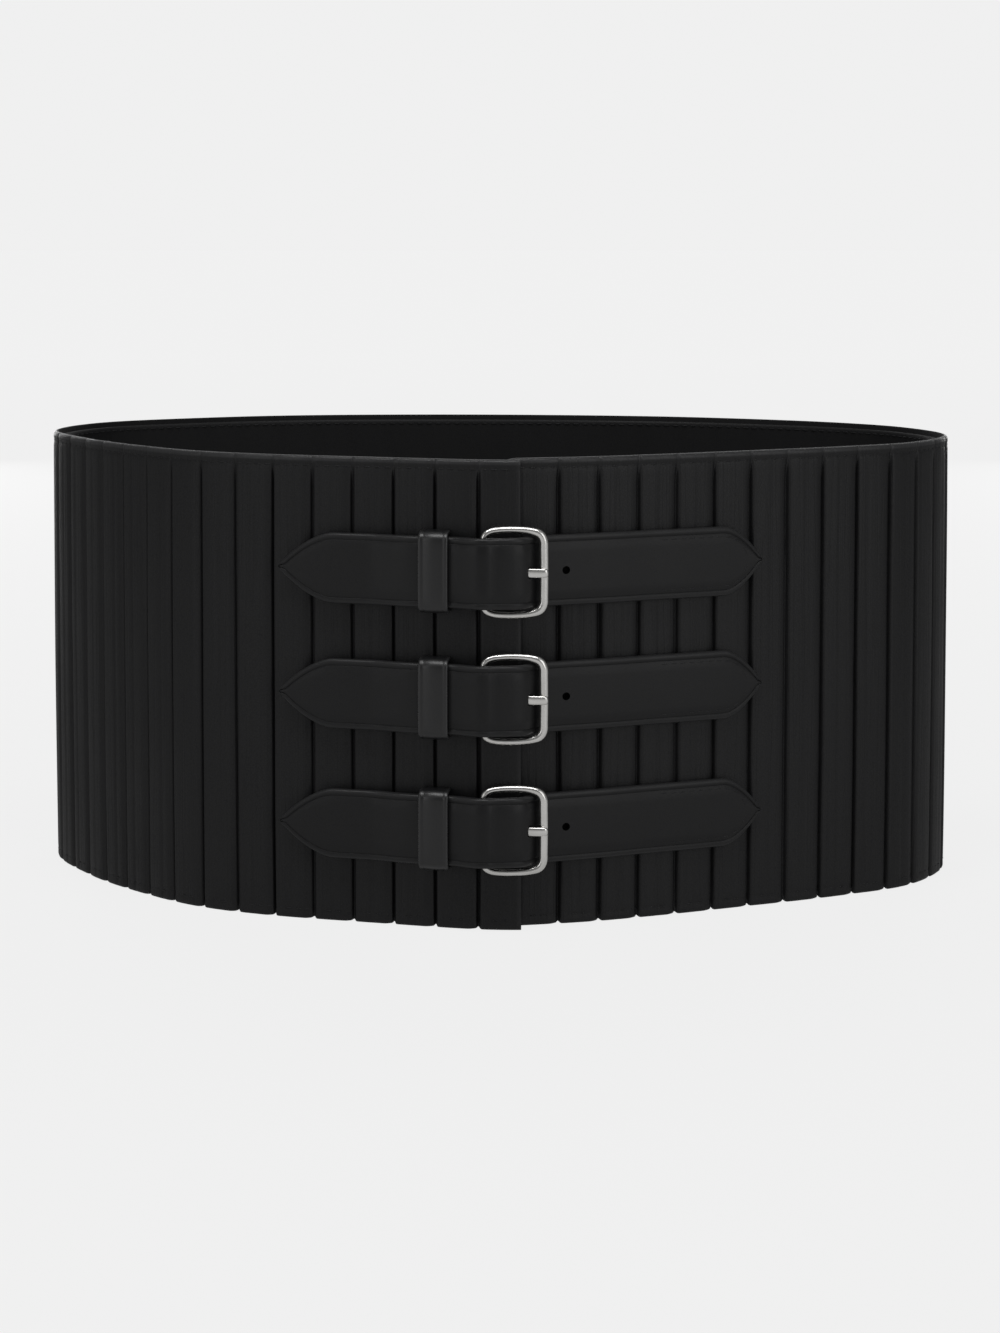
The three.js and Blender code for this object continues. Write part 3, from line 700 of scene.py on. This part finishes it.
def round_of(sides):
    """Angles all the way round."""
    return [2 * math.pi * k / sides for k in range(sides)]


def stitch_mesh(name, stitches):
    """Stitches as one mesh: each row gives two ends on the surface and the way out of it."""
    points, faces, flats = [], [], []
    sides = 6
    for start, end, normal in stitches:
        run = end - start
        side = run.cross(normal).normalized()
        base = len(points)
        for along, girth, rise in STITCH:
            centre = start + run * (along + 0.5) + normal * rise * THREAD / 2
            r = girth * THREAD / 2
            for a in round_of(sides):
                points.append(centre + side * r * math.cos(a) + normal * r * math.sin(a))
                flats.append((run.length * along, r * math.cos(a), r * math.sin(a)))
        last = base + (len(STITCH) - 1) * sides
        for a in range(base, last, sides):
            for k in range(sides):
                m = (k + 1) % sides
                faces.append((a + k, a + sides + k, a + sides + m, a + m))
        faces.append(tuple(base + k for k in range(sides)))
        faces.append(tuple(last + k for k in reversed(range(sides))))
    return as_piece(name, points, faces, flat=flats)


def band_stitches(z, inside):
    """The row's stitches at a height, on the pleats or on the lining."""
    rows = []
    for k in range(PLEATS):
        for i in range(STITCHES):
            ends = []
            for share in (i + PIERCED, i + 1 - PIERCED):
                d = pleat_start(k) + (pleat_start(k + 1) - pleat_start(k)) * share / STITCHES
                x = PITCH - (pleat_start(k + 1) - d)
                out = -WALL if inside else -pleat_face(k, x, z)
                ends.append(place(LAP_EDGE - d, band_face(d) + out, z))
            way = outward(plan(LAP_EDGE - pleat_start(k) - (i + 0.5) / STITCHES * PITCH)[1])
            rows.append((*ends, -way if inside else way))
    return rows[1:-1]


thread_finish, tree, shader = new_material("bonded thread", Specular_IOR_Level=0.36)
flat = add_node(tree, "ShaderNodeAttribute", {"attribute_name": "flat"})
twist = add_node(
    tree,
    "ShaderNodeTexWave",
    {"wave_type": "BANDS", "bands_direction": "DIAGONAL"},
    Vector=flat.outputs["Vector"],
    Scale=700.0,
    Distortion=0.4,
)
lay = twist.outputs["Fac"]
feed(
    tree,
    shader,
    Base_Color=blend(tree, lay, (0.0066, 0.0066, 0.0072), (0.0112, 0.0112, 0.0122)),
    Roughness=remap(tree, lay, 0, 1, 0.62, 0.5),
)
raise_by(tree, shader, lay, 0.05 * MM)

rows = []
for z in (BELT_HEIGHT - SEAM_IN, SEAM_IN):
    rows += band_stitches(z, False) + band_stitches(z, True)
dress(stitch_mesh("edge_stitches", rows), thread_finish, "strap_leather")

# Tongue straps.
# Firm bridle leather, creased along its edges and dyed on them. Each is sewn flat to the right
# front, passes through its buckle and keeper, and ends in a free point on the left front.
ROWS = (0, 0.489, 1)  # shares of the way down from the highest to the lowest
LOWEST_ROW = 30.5 * MM
TOP_MARGIN = 32.8 * MM
STRAP_WIDTH = 21 * MM
STRAP = 2.1 * MM
STRAP_TIP_LEFT = -63.4 * MM
STRAP_TIP_RIGHT = 87.2 * MM
LEFT_POINT = 17 * MM
RIGHT_POINT = 13 * MM
SEAM_START = 52 * MM
HOLE = 2.4 * MM
SPARE_HOLE = 13.2 * MM  # from the hole in use
CHAPE_WIDTH = 19.4 * MM
CHAPE_NECK = 17 * MM
CHAPE = 1.3 * MM
CHAPE_TIP = -59.5 * MM
CHAPE_POINT = 15 * MM
CHAPE_RETURN = -23 * MM
SLOT_CLEAR = 0.45 * MM
HEEL_BAR = -1.65 * MM
FRAME_LONG = 17.6 * MM
FRAME_WIRE = 2.2 * MM
FRONT_BAR = 2.8 * MM
FRONT_RISE = 1.6 * MM
PRONG_WIDTH = 2.9 * MM
PRONG = 1.5 * MM
PRONG_EYE = 0.8 * MM
PRONG_OVER = 1.0 * MM
PRONG_SIDES, PRONG_SQUARE = 14, 0.6
PRONG_SEAT = FRONT_BAR / 2 + GAP + PRONG / 2
PRONG_LINE = (  # along is of the frame's length, rise is of the seat's height
    (0.22, 0.49),
    (0.4, 0.37),
    (0.56, 0.31),
    (0.66, 0.45),
    (0.76, 0.76),
    (0.86, 0.93),
    (1.0, 1.0),
)
HOLE_SHARE = 0.68  # of the frame's length: the hole in use
FOLD = FRAME_WIRE / 2 + GAP + CHAPE / 2
MEETS, LEAVES = 120, 66  # degrees about the heel bar between which the straps touch
ON_STRAP = CHAPE / 2 + GAP + STRAP / 2
CREASE_IN = 1.9 * MM
CREASE_DEEP = 0.22 * MM
RETURN_EASE, MEET_EASE = 12 * MM, 7 * MM  # over which the buckle strap bends up
UNDER_BAR = 0.93  # of the frame's length: where the tongue is lowest
STANDS_OFF = 1.2 * MM  # the tongue, half-way from there to its seam
STRAP_STEP = 1.6 * MM
TIP_LEAD, TIP_BLUNT, TIP_HALF = 0.5 * MM, 1.3 * MM, 0.12 * MM
POINT_BEND = 1.7
TIP_THIN = (0.5, 0.78, 0.93)  # of the thickness, from the tip in
STRAP_CORNER = 0.95 * MM
NARROW = 2.6 * MM  # half width below which the section is squeezed
SHARP = 42  # degrees: the rim of a punched hole
HOLE_SIDES = 24
top_row = BELT_HEIGHT - TOP_MARGIN
row_heights = [top_row - (top_row - LOWEST_ROW) * down for down in ROWS]


def left_face(s):
    """How far out the left front's face is, at a length right of the middle."""
    return lift(LAP_EDGE - s)


HEEL_OUT = left_face(HEEL_BAR) + GAP + CHAPE / 2 + FOLD


def curve_through(rows):
    """A smooth curve through a few rows of x and y that never swings past them."""
    slopes = [(b[1] - a[1]) / (b[0] - a[0]) for a, b in zip(rows, rows[1:])]
    inner = [0 if a * b <= 0 else 2 * a * b / (a + b) for a, b in zip(slopes, slopes[1:])]
    tangents = [slopes[0], *inner, slopes[-1]]

    def value(x):
        if x <= rows[0][0]:
            return rows[0][1]
        if x >= rows[-1][0]:
            return rows[-1][1]
        i = next(k for k, row in enumerate(rows) if row[0] > x) - 1
        run = rows[i + 1][0] - rows[i][0]
        t = (x - rows[i][0]) / run
        bend = t * t * (3 - 2 * t)
        turn = run * t * (1 - t) * ((1 - t) * tangents[i] - t * tangents[i + 1])
        return rows[i][1] * (1 - bend) + rows[i + 1][1] * bend + turn

    return value


def stations(start, end, step, also=()):
    """Lengths from one end to the other at about a step, with given ones among them."""
    count = max(1, round((end - start) / step))
    even = [start + (end - start) * i / count for i in range(count + 1)]
    free = [s for s in even[1:-1] if all(abs(a - s) > step / 3 for a in also)]
    return sorted([even[0], *free, even[-1], *[a for a in also if start < a < end]])


def frame_axes(height):
    """The buckle's own axes: x from the heel bar to the front bar, y out of the belt, z up."""
    heel = place(HEEL_BAR, HEEL_OUT, height)
    front = place(HEEL_BAR + FRAME_LONG, HEEL_OUT + FRONT_RISE, height)
    x = front - heel
    x.z = 0
    x.normalize()
    z = Vector((0, 0, 1))
    axes = Matrix((x, x.cross(z), z)).transposed().to_4x4()
    axes.translation = heel
    return axes


def from_frame(x, y):
    """The length along the band and the distance out of a point in the buckle's own axes."""
    point = frame_axes(0) @ Vector((x, y, 0)) - shift
    s = HEEL_BAR + x
    for _ in range(12):
        at, along = plan(s)
        s += (point - at).dot(along)
    at, along = plan(s)
    return s, (point - at).dot(outward(along)) - lean(0)


def heel_arc(radius, start, end, step):
    """Points of an arc about the heel bar, from one angle down to another."""
    angles = [math.radians(a) for a in reversed(stations(end, start, step))]
    return [(HEEL_BAR + radius * math.cos(a), HEEL_OUT + radius * math.sin(a)) for a in angles]


def point_half(width, from_tip, length):
    """Half the width of a strap near its point, at a distance from the tip."""
    t = min(max((from_tip + TIP_LEAD) / (length + TIP_LEAD), 0), 1)
    blunt = min(max(from_tip / TIP_BLUNT, 0), 1)
    return max(TIP_HALF, width / 2 * (1 - (1 - t) ** POINT_BEND) * math.sqrt(blunt * (2 - blunt)))


meet = heel_arc(FOLD, MEETS, LEAVES, MEETS)[0]
near_return = CHAPE_RETURN - RETURN_EASE
near_meet = meet[0] - MEET_EASE
chape_over = curve_through(
    [
        (CHAPE_TIP, left_face(CHAPE_TIP) + GAP + CHAPE / 2),
        (near_return, left_face(near_return) + GAP + CHAPE / 2),
        (CHAPE_RETURN, left_face(CHAPE_RETURN) + 2 * GAP + 1.5 * CHAPE),
        (near_meet, left_face(near_meet) + 2 * GAP + 1.5 * CHAPE),
        meet,
    ]
)
along, rise = PRONG_LINE[2]
on_prong = from_frame(FRAME_LONG * along, PRONG_SEAT * rise + PRONG / 2 + 2 * GAP + STRAP / 2)
under_bar = from_frame(FRAME_LONG * UNDER_BAR, -FRONT_BAR / 2 - 2 * GAP - STRAP / 2)
TIP_STEPS = [c * MM for c in (0.12, 0.3, 0.6, 1.0, 1.6, 2.4, 3.4, 4.6)]


def tongue_line():
    """The tongue's centre line: over the buckle strap, under the front bar, to the right."""
    line = []
    near_tip = [STRAP_TIP_LEFT + c for c in TIP_STEPS]
    for s in stations(STRAP_TIP_LEFT, meet[0], STRAP_STEP, near_tip)[:-1]:
        slope = (chape_over(s + 0.05 * MM) - chape_over(s - 0.05 * MM)) / (0.1 * MM)
        run = math.hypot(1, slope)
        line.append((s - ON_STRAP * slope / run, chape_over(s) + ON_STRAP / run))
    line += heel_arc(FOLD + ON_STRAP, MEETS, LEAVES, 6)
    rest = curve_through(
        [
            line[-1],
            on_prong,
            under_bar,
            ((under_bar[0] + SEAM_START) / 2, GAP + STANDS_OFF + STRAP / 2),
            (SEAM_START, GAP + STRAP / 2),
            (STRAP_TIP_RIGHT, GAP + STRAP / 2),
        ]
    )
    near_tip = [STRAP_TIP_RIGHT - c for c in TIP_STEPS]
    far = stations(line[-1][0], STRAP_TIP_RIGHT, STRAP_STEP, near_tip)[1:]
    return line + [(s, rest(s)) for s in far]


tongue_path = tongue_line()


def tongue_centre(s):
    """How far out the tongue's centre is, at a length right of the middle."""
    i = max(1, next(k for k, p in enumerate(tongue_path) if p[0] >= s))
    (a, low_out), (b, high_out) = tongue_path[i - 1], tongue_path[i]
    return low_out + (high_out - low_out) * (s - a) / (b - a)


def strap_section(half, thick, creased):
    """Rows of across, up and edge round a strap's section, creased inside its round edges."""
    h = thick / 2
    squeeze = min(1.0, half / NARROW)
    corner = min(STRAP_CORNER, h * 0.9)
    side = [  # in from the edge in mm, up, and how rubbed and painted lighter
        (0.45, -h, 0.5),
        (0.12, -h * 0.88, 0.9),
        (0.0, -h * 0.5, 1.0),
        (0.0, h - corner, 1.0),
        (0.15, h - corner * 0.5, 1.0),
        (0.44, h - corner * 0.16, 1.0),
        (0.95, h, 0.6),
    ]
    deep = CREASE_DEEP if creased else 0.0
    crease = CREASE_IN / MM
    side += [(crease - 0.35, h, 0.1), (crease, h - deep, 0.0), (crease + 0.35, h, 0.0)]
    upper = [(half - e * MM * squeeze, v, m) for e, v, m in side]
    inner = half - (crease + 0.35) * MM * squeeze
    across = (0.66, 0.33, 0.0, -0.33, -0.66)
    middle = [(inner * c, h + 0.1 * MM * (1 - c * c), 0.0) for c in across]
    lower = [(-z, v, m) for z, v, m in reversed(upper)]
    return upper + middle + lower


def strap_rings(path, thick, height, creased=True):
    """A strap's rings along a path of rows: length, distance out and half width."""
    rings = []
    for i, (s, out, half) in enumerate(path):
        a, b = path[max(0, i - 1)], path[min(len(path) - 1, i + 1)]
        run = math.hypot(b[0] - a[0], b[1] - a[1])
        ns, no = -(b[1] - a[1]) / run, (b[0] - a[0]) / run
        from_tip = min(i, len(path) - 1 - i)
        at_tip = from_tip < len(TIP_THIN)
        thin = TIP_THIN[from_tip] if at_tip else 1.0
        # The tips take the whole lighter edge tone.
        wear_and_highlight = 1.0 if at_tip else 0.0
        section = strap_section(half, thick * thin, creased)
        rings.append([(s + v * ns, out + v * no, height + z, max(m, wear_and_highlight)) for z, v, m in section])
    return rings


def punch(piece, cutters):
    """Takes cutters out of a piece and keeps the rims of the holes sharp."""
    for cutter in cutters:
        tool = piece.modifiers.new("punch", "BOOLEAN")
        tool.operation, tool.solver, tool.object = "DIFFERENCE", "EXACT", cutter
    graph = bpy.context.evaluated_depsgraph_get()
    cut = bpy.data.meshes.new_from_object(piece.evaluated_get(graph))
    piece.modifiers.clear()
    cut.name = piece.name
    piece.data = cut
    piece.data.set_sharp_from_angle(angle=math.radians(SHARP))
    for cutter in cutters:
        bpy.data.objects.remove(cutter)


def round_punch(s, height, radius):
    """A round punch through the tongue."""
    rings = []
    for out in (-2.2 * STRAP, 2.2 * STRAP):
        ring = []
        for a in round_of(HOLE_SIDES):
            along, up = radius * math.cos(a), radius * math.sin(a)
            ring.append((s + along, tongue_centre(s) + out, height + up, 0.8))
        rings.append(ring)
    return skin("punch", rings, place)


def between(p, t):
    """The value at a share of the way between the middle two of four, on a smooth curve."""
    a, b, c, d = p
    bend, rest = 2 * a - 5 * b + 4 * c - d, 3 * b - a - 3 * c + d
    return 0.5 * (2 * b + (c - a) * t + bend * t**2 + rest * t**3)


def prong_rings(grow=0.0):
    """The prong: an eye round the heel bar, up through the strap and over the front bar."""
    eye = FRAME_WIRE / 2 + GAP + PRONG_EYE / 2
    turns = [math.radians(a) for a in range(290, 49, -15)]
    marks = [(eye * math.cos(a), eye * math.sin(a), PRONG_EYE, 1) for a in turns]
    marks += [(x * FRAME_LONG, y * PRONG_SEAT, PRONG, 1 - 0.1 * x**4) for x, y in PRONG_LINE]
    marks += [
        (FRAME_LONG + PRONG_OVER * 0.7, PRONG_SEAT - 0.08 * MM, PRONG * 0.75, 0.8),
        (FRAME_LONG + PRONG_OVER, PRONG_SEAT - 0.2 * MM, PRONG * 0.4, 0.5),
    ]
    rings = []
    for i in range(len(marks) - 1):
        p = [marks[max(0, i - 1)], marks[i], marks[i + 1], marks[min(len(marks) - 1, i + 2)]]
        steps = 3 if i > len(turns) - 3 else 1
        for k in range(steps):
            rings.append([between(four, k / steps) for four in zip(*p)])
    rings.append(list(marks[-1]))
    made = []
    for i, (x, y, thick, wide) in enumerate(rings):
        a, b = rings[max(0, i - 1)], rings[min(len(rings) - 1, i + 1)]
        run = math.hypot(b[0] - a[0], b[1] - a[1])
        nx, ny = -(b[1] - a[1]) / run, (b[0] - a[0]) / run
        h, w = thick / 2 + grow, PRONG_WIDTH * wide / 2 + grow
        ring = []
        for angle in round_of(PRONG_SIDES):
            c, q = math.cos(angle), math.sin(angle)
            z = w * math.copysign(abs(c) ** PRONG_SQUARE, c)
            v = h * math.copysign(abs(q) ** PRONG_SQUARE, q)
            ring.append((x + v * nx, y + v * ny, z, 0.0))
        made.append(ring)
    return made


def at_buckle(height):
    """What puts a point given in a buckle's own axes in its place."""
    axes = frame_axes(height)
    return lambda x, y, z: axes @ Vector((x, y, z))


# The straps' rounded edges and tips take a lighter tone: part edge dye and rub, part painted
# highlight.
strap_finish = leather_finish(
    "bridle leather",
    colours=((0.0034, 0.0034, 0.0038), (0.0056, 0.0056, 0.0062), (0.021, 0.021, 0.0218)),
    gloss=(0.36, 0.46, 0.1),
    pebble=0.45 * MM,
    relief=0.025 * MM,
    Specular_IOR_Level=0.35,
)
spare_hole = from_frame(FRAME_LONG * HOLE_SHARE, 0)[0] + SPARE_HOLE
path = []
for s, out in tongue_path:
    left = point_half(STRAP_WIDTH, s - tongue_path[0][0], LEFT_POINT)
    right = point_half(STRAP_WIDTH, STRAP_TIP_RIGHT - s, RIGHT_POINT)
    path.append((s, out, min(left, right)))
for i, height in enumerate(row_heights, start=1):
    tongue = skin(f"tongue_{i}", strap_rings(path, STRAP, height), place)
    cutters = [round_punch(spare_hole, height, HOLE / 2)]
    cutters.append(skin("prong_room", prong_rings(GAP), at_buckle(height)))
    punch(tongue, cutters)
    dress(tongue, strap_finish, "strap_leather", f"tongue_strap_{i}")

# Strap stitching.
# The same thread holds each tongue to the right front, in a line inside both edges that meets at
# the point.
STITCH_IN = 2.9 * MM
STITCH_STEP = 3.1 * MM
STITCH_SUNK = 0.07 * MM
LAST_STITCH = 4.6 * MM  # from the tip
STITCH_GAP = 0.14  # the share of a step left at each end


def strap_top(s, across, height):
    """A point on the tongue's upper face."""
    return place(s, tongue_centre(s) + STRAP / 2 - STITCH_SUNK, height + across)


rows = []
for height in row_heights:
    end = STRAP_TIP_RIGHT - LAST_STITCH
    count = round((end - SEAM_START) / STITCH_STEP)
    corners = [SEAM_START + (end - SEAM_START) * c / count for c in range(count + 1)]
    from_tip = [STRAP_TIP_RIGHT - s for s in corners]
    halves = [point_half(STRAP_WIDTH, d, RIGHT_POINT) - STITCH_IN for d in from_tip]
    halves[-1] = 0.0
    for side in (1, -1):
        line = [strap_top(s, side * h, height) for s, h in zip(corners, halves)]
        for a, b, s in zip(line, line[1:], corners):
            way = outward(plan(s)[1])
            rows.append((a.lerp(b, STITCH_GAP), a.lerp(b, 1 - STITCH_GAP), way))
dress(stitch_mesh("strap_stitches", rows), thread_finish, "strap_leather")

# Buckle straps.
# A thinner strap under each tongue. It is folded round the buckle's heel bar, slotted there for
# the prong, and sewn down to a point on the left front.
CHAPE_STEP = 2.2 * MM
NECK_FROM, NECK_TO = 12 * MM, 4 * MM  # left of the heel bar
neck = [(HEEL_BAR - NECK_FROM, CHAPE_WIDTH / 2), (HEEL_BAR - NECK_TO, CHAPE_NECK / 2)]
neck = curve_through(neck)


def chape_path():
    """Rows of length, distance out and half width: to the heel bar, round it and back under."""
    over = stations(CHAPE_TIP, meet[0], CHAPE_STEP, [CHAPE_TIP + c for c in TIP_STEPS])[:-1]
    back = reversed(stations(CHAPE_RETURN, HEEL_BAR, CHAPE_STEP))
    line = [(s, chape_over(s)) for s in over] + heel_arc(FOLD, MEETS, -60, 10)
    line += [(s, left_face(s) + GAP + CHAPE / 2) for s in back]
    halves = [point_half(CHAPE_WIDTH, s - CHAPE_TIP, CHAPE_POINT) for s, _ in line]
    return [(s, out, min(half, neck(s))) for (s, out), half in zip(line, halves)]


for i, height in enumerate(row_heights, start=1):
    rings = strap_rings(chape_path(), CHAPE, height, creased=False)
    chape = skin(f"buckle_leather_{i}", rings, place)
    reach, tall = FOLD + CHAPE + GAP, PRONG_WIDTH / 2 + SLOT_CLEAR
    corners = ((-1, -1), (-1, 1), (1, 1), (1, -1))
    box = [[(x, y * reach, z * tall, 0.0) for y, z in corners] for x in (-reach, reach)]
    punch(chape, [skin("slot", box, at_buckle(height))])
    dress(chape, strap_finish, "strap_leather", f"buckle_strap_{i}")

# Keepers.
# A narrow leather loop over both straps, left of each buckle. Its two feet are sewn down beside
# the straps, and its corners are rounded from being pressed over them.
KEEPER_MIDDLE = -15.3 * MM
KEEPER_LONG = 8.4 * MM
KEEPER = 1.2 * MM
KEEPER_CLEAR = 0.4 * MM
KEEPER_CORNER = 2.4 * MM
KEEPER_CROWN = 0.12 * MM
KEEPER_EDGE = 0.35 * MM  # the round of its edges


def keeper_line(s):
    """The keeper's middle line over the straps, as rows of across, out and the way out."""
    foot_out = left_face(s) + GAP + 0.05 * MM
    side = STRAP_WIDTH / 2 + KEEPER_CLEAR + KEEPER / 2
    roof = tongue_centre(s) + STRAP / 2 + GAP + KEEPER / 2
    flat_half, upright = side - KEEPER_CORNER, roof - KEEPER_CORNER
    rows = [(side, foot_out, 0), (side, foot_out + 0.6 * (upright - foot_out), 0)]
    for degrees in range(0, 91, 15):
        a = math.radians(degrees)
        across, out = KEEPER_CORNER * math.cos(a), KEEPER_CORNER * math.sin(a)
        rows.append((flat_half + across, upright + out, a))
    for c in (0.75, 0.5, 0.25, 0):
        rows.append((flat_half * c, roof + KEEPER_CROWN * (1 - c * c), math.pi / 2))
    return rows + [(-z, out, math.pi - a) for z, out, a in reversed(rows[:-1])]


def keeper_rings(height):
    """Rings across the loop's width, one for each step of its line."""
    length = len(keeper_line(KEEPER_MIDDLE))
    half, h, r = KEEPER_LONG / 2, KEEPER / 2, KEEPER_EDGE
    section = [  # along the band, up, and how rubbed and painted lighter
        (-half, -h + r, 1),
        (-half, h - r, 1),
        (-half + r * 0.3, h - r * 0.3, 1),
        (-half + r, h, 0.6),
        (-half + 1.1 * MM, h, 0.1),
        (-half + 1.4 * MM, h - 0.13 * MM, 0),
        (-half + 1.7 * MM, h, 0),
    ]
    section += [(0.0, h + 0.06 * MM, 0)]
    section += [(-s, v, m) for s, v, m in reversed(section[:-1])]
    section += [(half - r, -h, 0.5), (-half + r, -h, 0.5)]
    lines = {s: keeper_line(KEEPER_MIDDLE + s) for s, _, _ in section}
    rings = []
    for i in range(length):
        ring = []
        for s, v, m in section:
            z, out, a = lines[s][i]
            # The outer face is painted lighter where it bends over the straps: painted highlight,
            # partly polish.
            bend_highlight = max(0.0, abs(math.sin(2 * a)) - 0.3) if v > 0 else 0.0
            up = height + z + v * math.cos(a)
            ring.append((KEEPER_MIDDLE + s, out + v * math.sin(a), up, max(m, bend_highlight)))
        rings.append(ring)
    return rings


# The third tone, on the bends and edges, is lighter: part rub, part painted highlight.
keeper_finish = leather_finish(
    "keeper leather",
    colours=((0.0042, 0.0042, 0.0047), (0.0072, 0.0072, 0.0079), (0.034, 0.034, 0.035)),
    gloss=(0.3, 0.38, 0.08),
    pebble=0.45 * MM,
    relief=0.018 * MM,
    Specular_IOR_Level=0.62,
)
for i, height in enumerate(row_heights, start=1):
    keeper = skin(f"keeper_loop_{i}", keeper_rings(height), place)
    dress(keeper, keeper_finish, "strap_leather", f"keeper_{i}")

# Buckle frames and prongs.
# Cast and polished, then nickel plated. Top and bottom bars bow outwards and narrow to the heel
# bar, the front bar is heavier, and the prong's eye turns on the heel bar.
FRAME_HALF = 12.5 * MM
FRAME = (  # along is of the length, half is of the half height
    (0.0, 0.3),
    (0.0, 0.6),
    (0.0, 0.79),
    (0.03, 0.89),
    (0.12, 0.965),
    (0.3, 1.0),
    (0.6, 1.0),
    (0.8, 0.97),
    (0.93, 0.9),
    (0.99, 0.77),
    (1.0, 0.5),
)


def frame_rings():
    """The frame: a bowed loop of wire that thickens into the front bar."""
    upper = [Vector((a * FRAME_LONG, 0, h * FRAME_HALF)) for a, h in FRAME]
    lower = [Vector((p.x, 0, -p.z)) for p in reversed(upper)]
    centre, around = smooth_loop(upper + lower, 24)
    steps, sides = 120, 16
    rings = []
    for i in range(steps):
        at, along = centre(around * i / steps)
        side = Vector((along.z, 0, -along.x))
        share = smoothstep(FRAME_LONG * 0.75, FRAME_LONG, at.x)
        r = (FRAME_WIRE + (FRONT_BAR - FRAME_WIRE) * share) / 2
        ring = []
        for a in round_of(sides):
            p = at + side * r * math.cos(a) + Vector((0, r * math.sin(a), 0))
            ring.append((*p, 0.0))
        rings.append(ring)
    return rings


nickel, tree, shader = new_material("nickel plate", Metallic=1.0)
slow = use_group(tree, handling, Patch_Size=0.006)
at = tree.nodes.new("ShaderNodeTexCoord").outputs["Object"]
scratches = clouds(tree, at, 4200.0, 2.0)
rough = remap(tree, slow["Value"], 0, 1, 0.19, 0.25)
feed(
    tree,
    shader,
    Base_Color=blend(tree, slow["Value"], (0.86, 0.85, 0.83), (0.78, 0.77, 0.745)),
    Roughness=add_share(tree, rough, scratches.outputs[0], 0.04),
)
raise_by(tree, shader, scratches.outputs[0], 0.0007 * MM)

for i, height in enumerate(row_heights, start=1):
    loop = skin(f"nickel_frame_{i}", frame_rings(), at_buckle(height), closed=True)
    dress(loop, nickel, "nickel", f"buckle_frame_{i}")
    pin = skin(f"nickel_prong_{i}", prong_rings(), at_buckle(height))
    dress(pin, nickel, "nickel", f"prong_{i}")

# Stage.
# A pale floor that runs into a pale surround without a horizon, soft boxes, and the camera at the
# photograph's angle: a long lens, a little above the rim.
FLOOR_HALF = 8.0
PALE = 0.86  # the even tone behind the belt
LENS = 94.52  # mm, on a sensor 36 mm wide
CAMERA_AT = (0.99 * MM, -1.1094, 0.226)
CAMERA_DOWN = 8.2  # degrees
LIGHTS = (  # name, place, the point it faces, size, and power in watts
    ("overhead", (-0.1, -0.5, 1.3), (0, 0, 0.1), (1.2, 0.5), 8),
    ("left_back", (-0.62, 1.45, 0.24), (-0.14, 0.1, 0.07), (0.5, 0.42), 2.4),
    ("right_back", (0.62, 1.45, 0.24), (0.14, 0.1, 0.07), (0.5, 0.42), 1.5),
    ("left_front", (-1.2, -1.0, 0.5), (0, 0, 0.08), (0.3, 0.9), 1.4),
    ("right_front", (1.1, -1.1, 0.6), (0, 0, 0.08), (0.9, 1.1), 3.6),
    ("high_back", (0, 1.9, 1.7), (0, 0, 0.1), (2.6, 0.8), 8),
)
mesh = bpy.data.meshes.new("floor")
corners = [(x * FLOOR_HALF, y * FLOOR_HALF, 0) for x, y in ((-1, -1), (1, -1), (1, 1), (-1, 1))]
mesh.from_pydata(corners, [], [(0, 1, 2, 3)])
floor = bpy.data.objects.new("floor", mesh)
bpy.context.scene.collection.objects.link(floor)
paper, tree, shader = new_material("pale paper", Base_Color=(0.06, 0.06, 0.06, 1), Roughness=0.95)
shader.inputs["Specular IOR Level"].default_value = 0.1
shader.inputs["Emission Color"].default_value = (1, 1, 1, 1)
at = tree.nodes.new("ShaderNodeTexCoord").outputs["Object"]
reach = add_node(tree, "ShaderNodeVectorMath", {"operation": "LENGTH"}, Vector=at).outputs["Value"]
near_tone = remap(tree, reach, 0.2, 3.0, PALE - 0.04, PALE)
seen = tree.nodes.new("ShaderNodeLightPath").outputs["Is Camera Ray"]
parts = add_node(tree, "ShaderNodeSeparateXYZ", Vector=at)
bounce = remap(tree, parts.outputs["Y"], -0.25, 0.15, 0.45, 0.2)  # weaker behind the belt
glow = add_node(tree, "ShaderNodeMapRange", Value=seen, To_Min=bounce, To_Max=near_tone)
feed(tree, shader, Emission_Strength=glow.outputs[0])
mesh.materials.append(paper)

world = bpy.data.worlds.new("studio")
bpy.context.scene.world = world
world.use_nodes = True
tree = world.node_tree
sky = tree.nodes["Background"]
sky.inputs["Color"].default_value = (1, 1, 1, 1)
seen = tree.nodes.new("ShaderNodeLightPath").outputs["Is Camera Ray"]
tree.links.new(remap(tree, seen, 0, 1, 0.16, PALE + 0.01), sky.inputs["Strength"])


def soft_box(name, at, aim, size, power):
    """A rectangular soft light that faces a point, itself out of sight."""
    lamp = bpy.data.lights.new(name, "AREA")
    lamp.shape = "RECTANGLE"
    lamp.size, lamp.size_y = size
    lamp.energy = power
    box = bpy.data.objects.new(name, lamp)
    box.location = at
    box.rotation_euler = (Vector(aim) - Vector(at)).to_track_quat("-Z", "Y").to_euler()
    box.visible_camera = False
    bpy.context.scene.collection.objects.link(box)


for light in LIGHTS:
    soft_box(*light)

camera = bpy.data.cameras.new("camera")
camera.lens = LENS
camera.sensor_width = 36
camera.clip_end = 60
eye = bpy.data.objects.new("camera", camera)
eye.location = CAMERA_AT
eye.rotation_euler = (math.radians(90 - CAMERA_DOWN), 0, 0)
bpy.context.scene.collection.objects.link(eye)
bpy.context.scene.camera = eye
bpy.context.scene.view_settings.view_transform = "Standard"
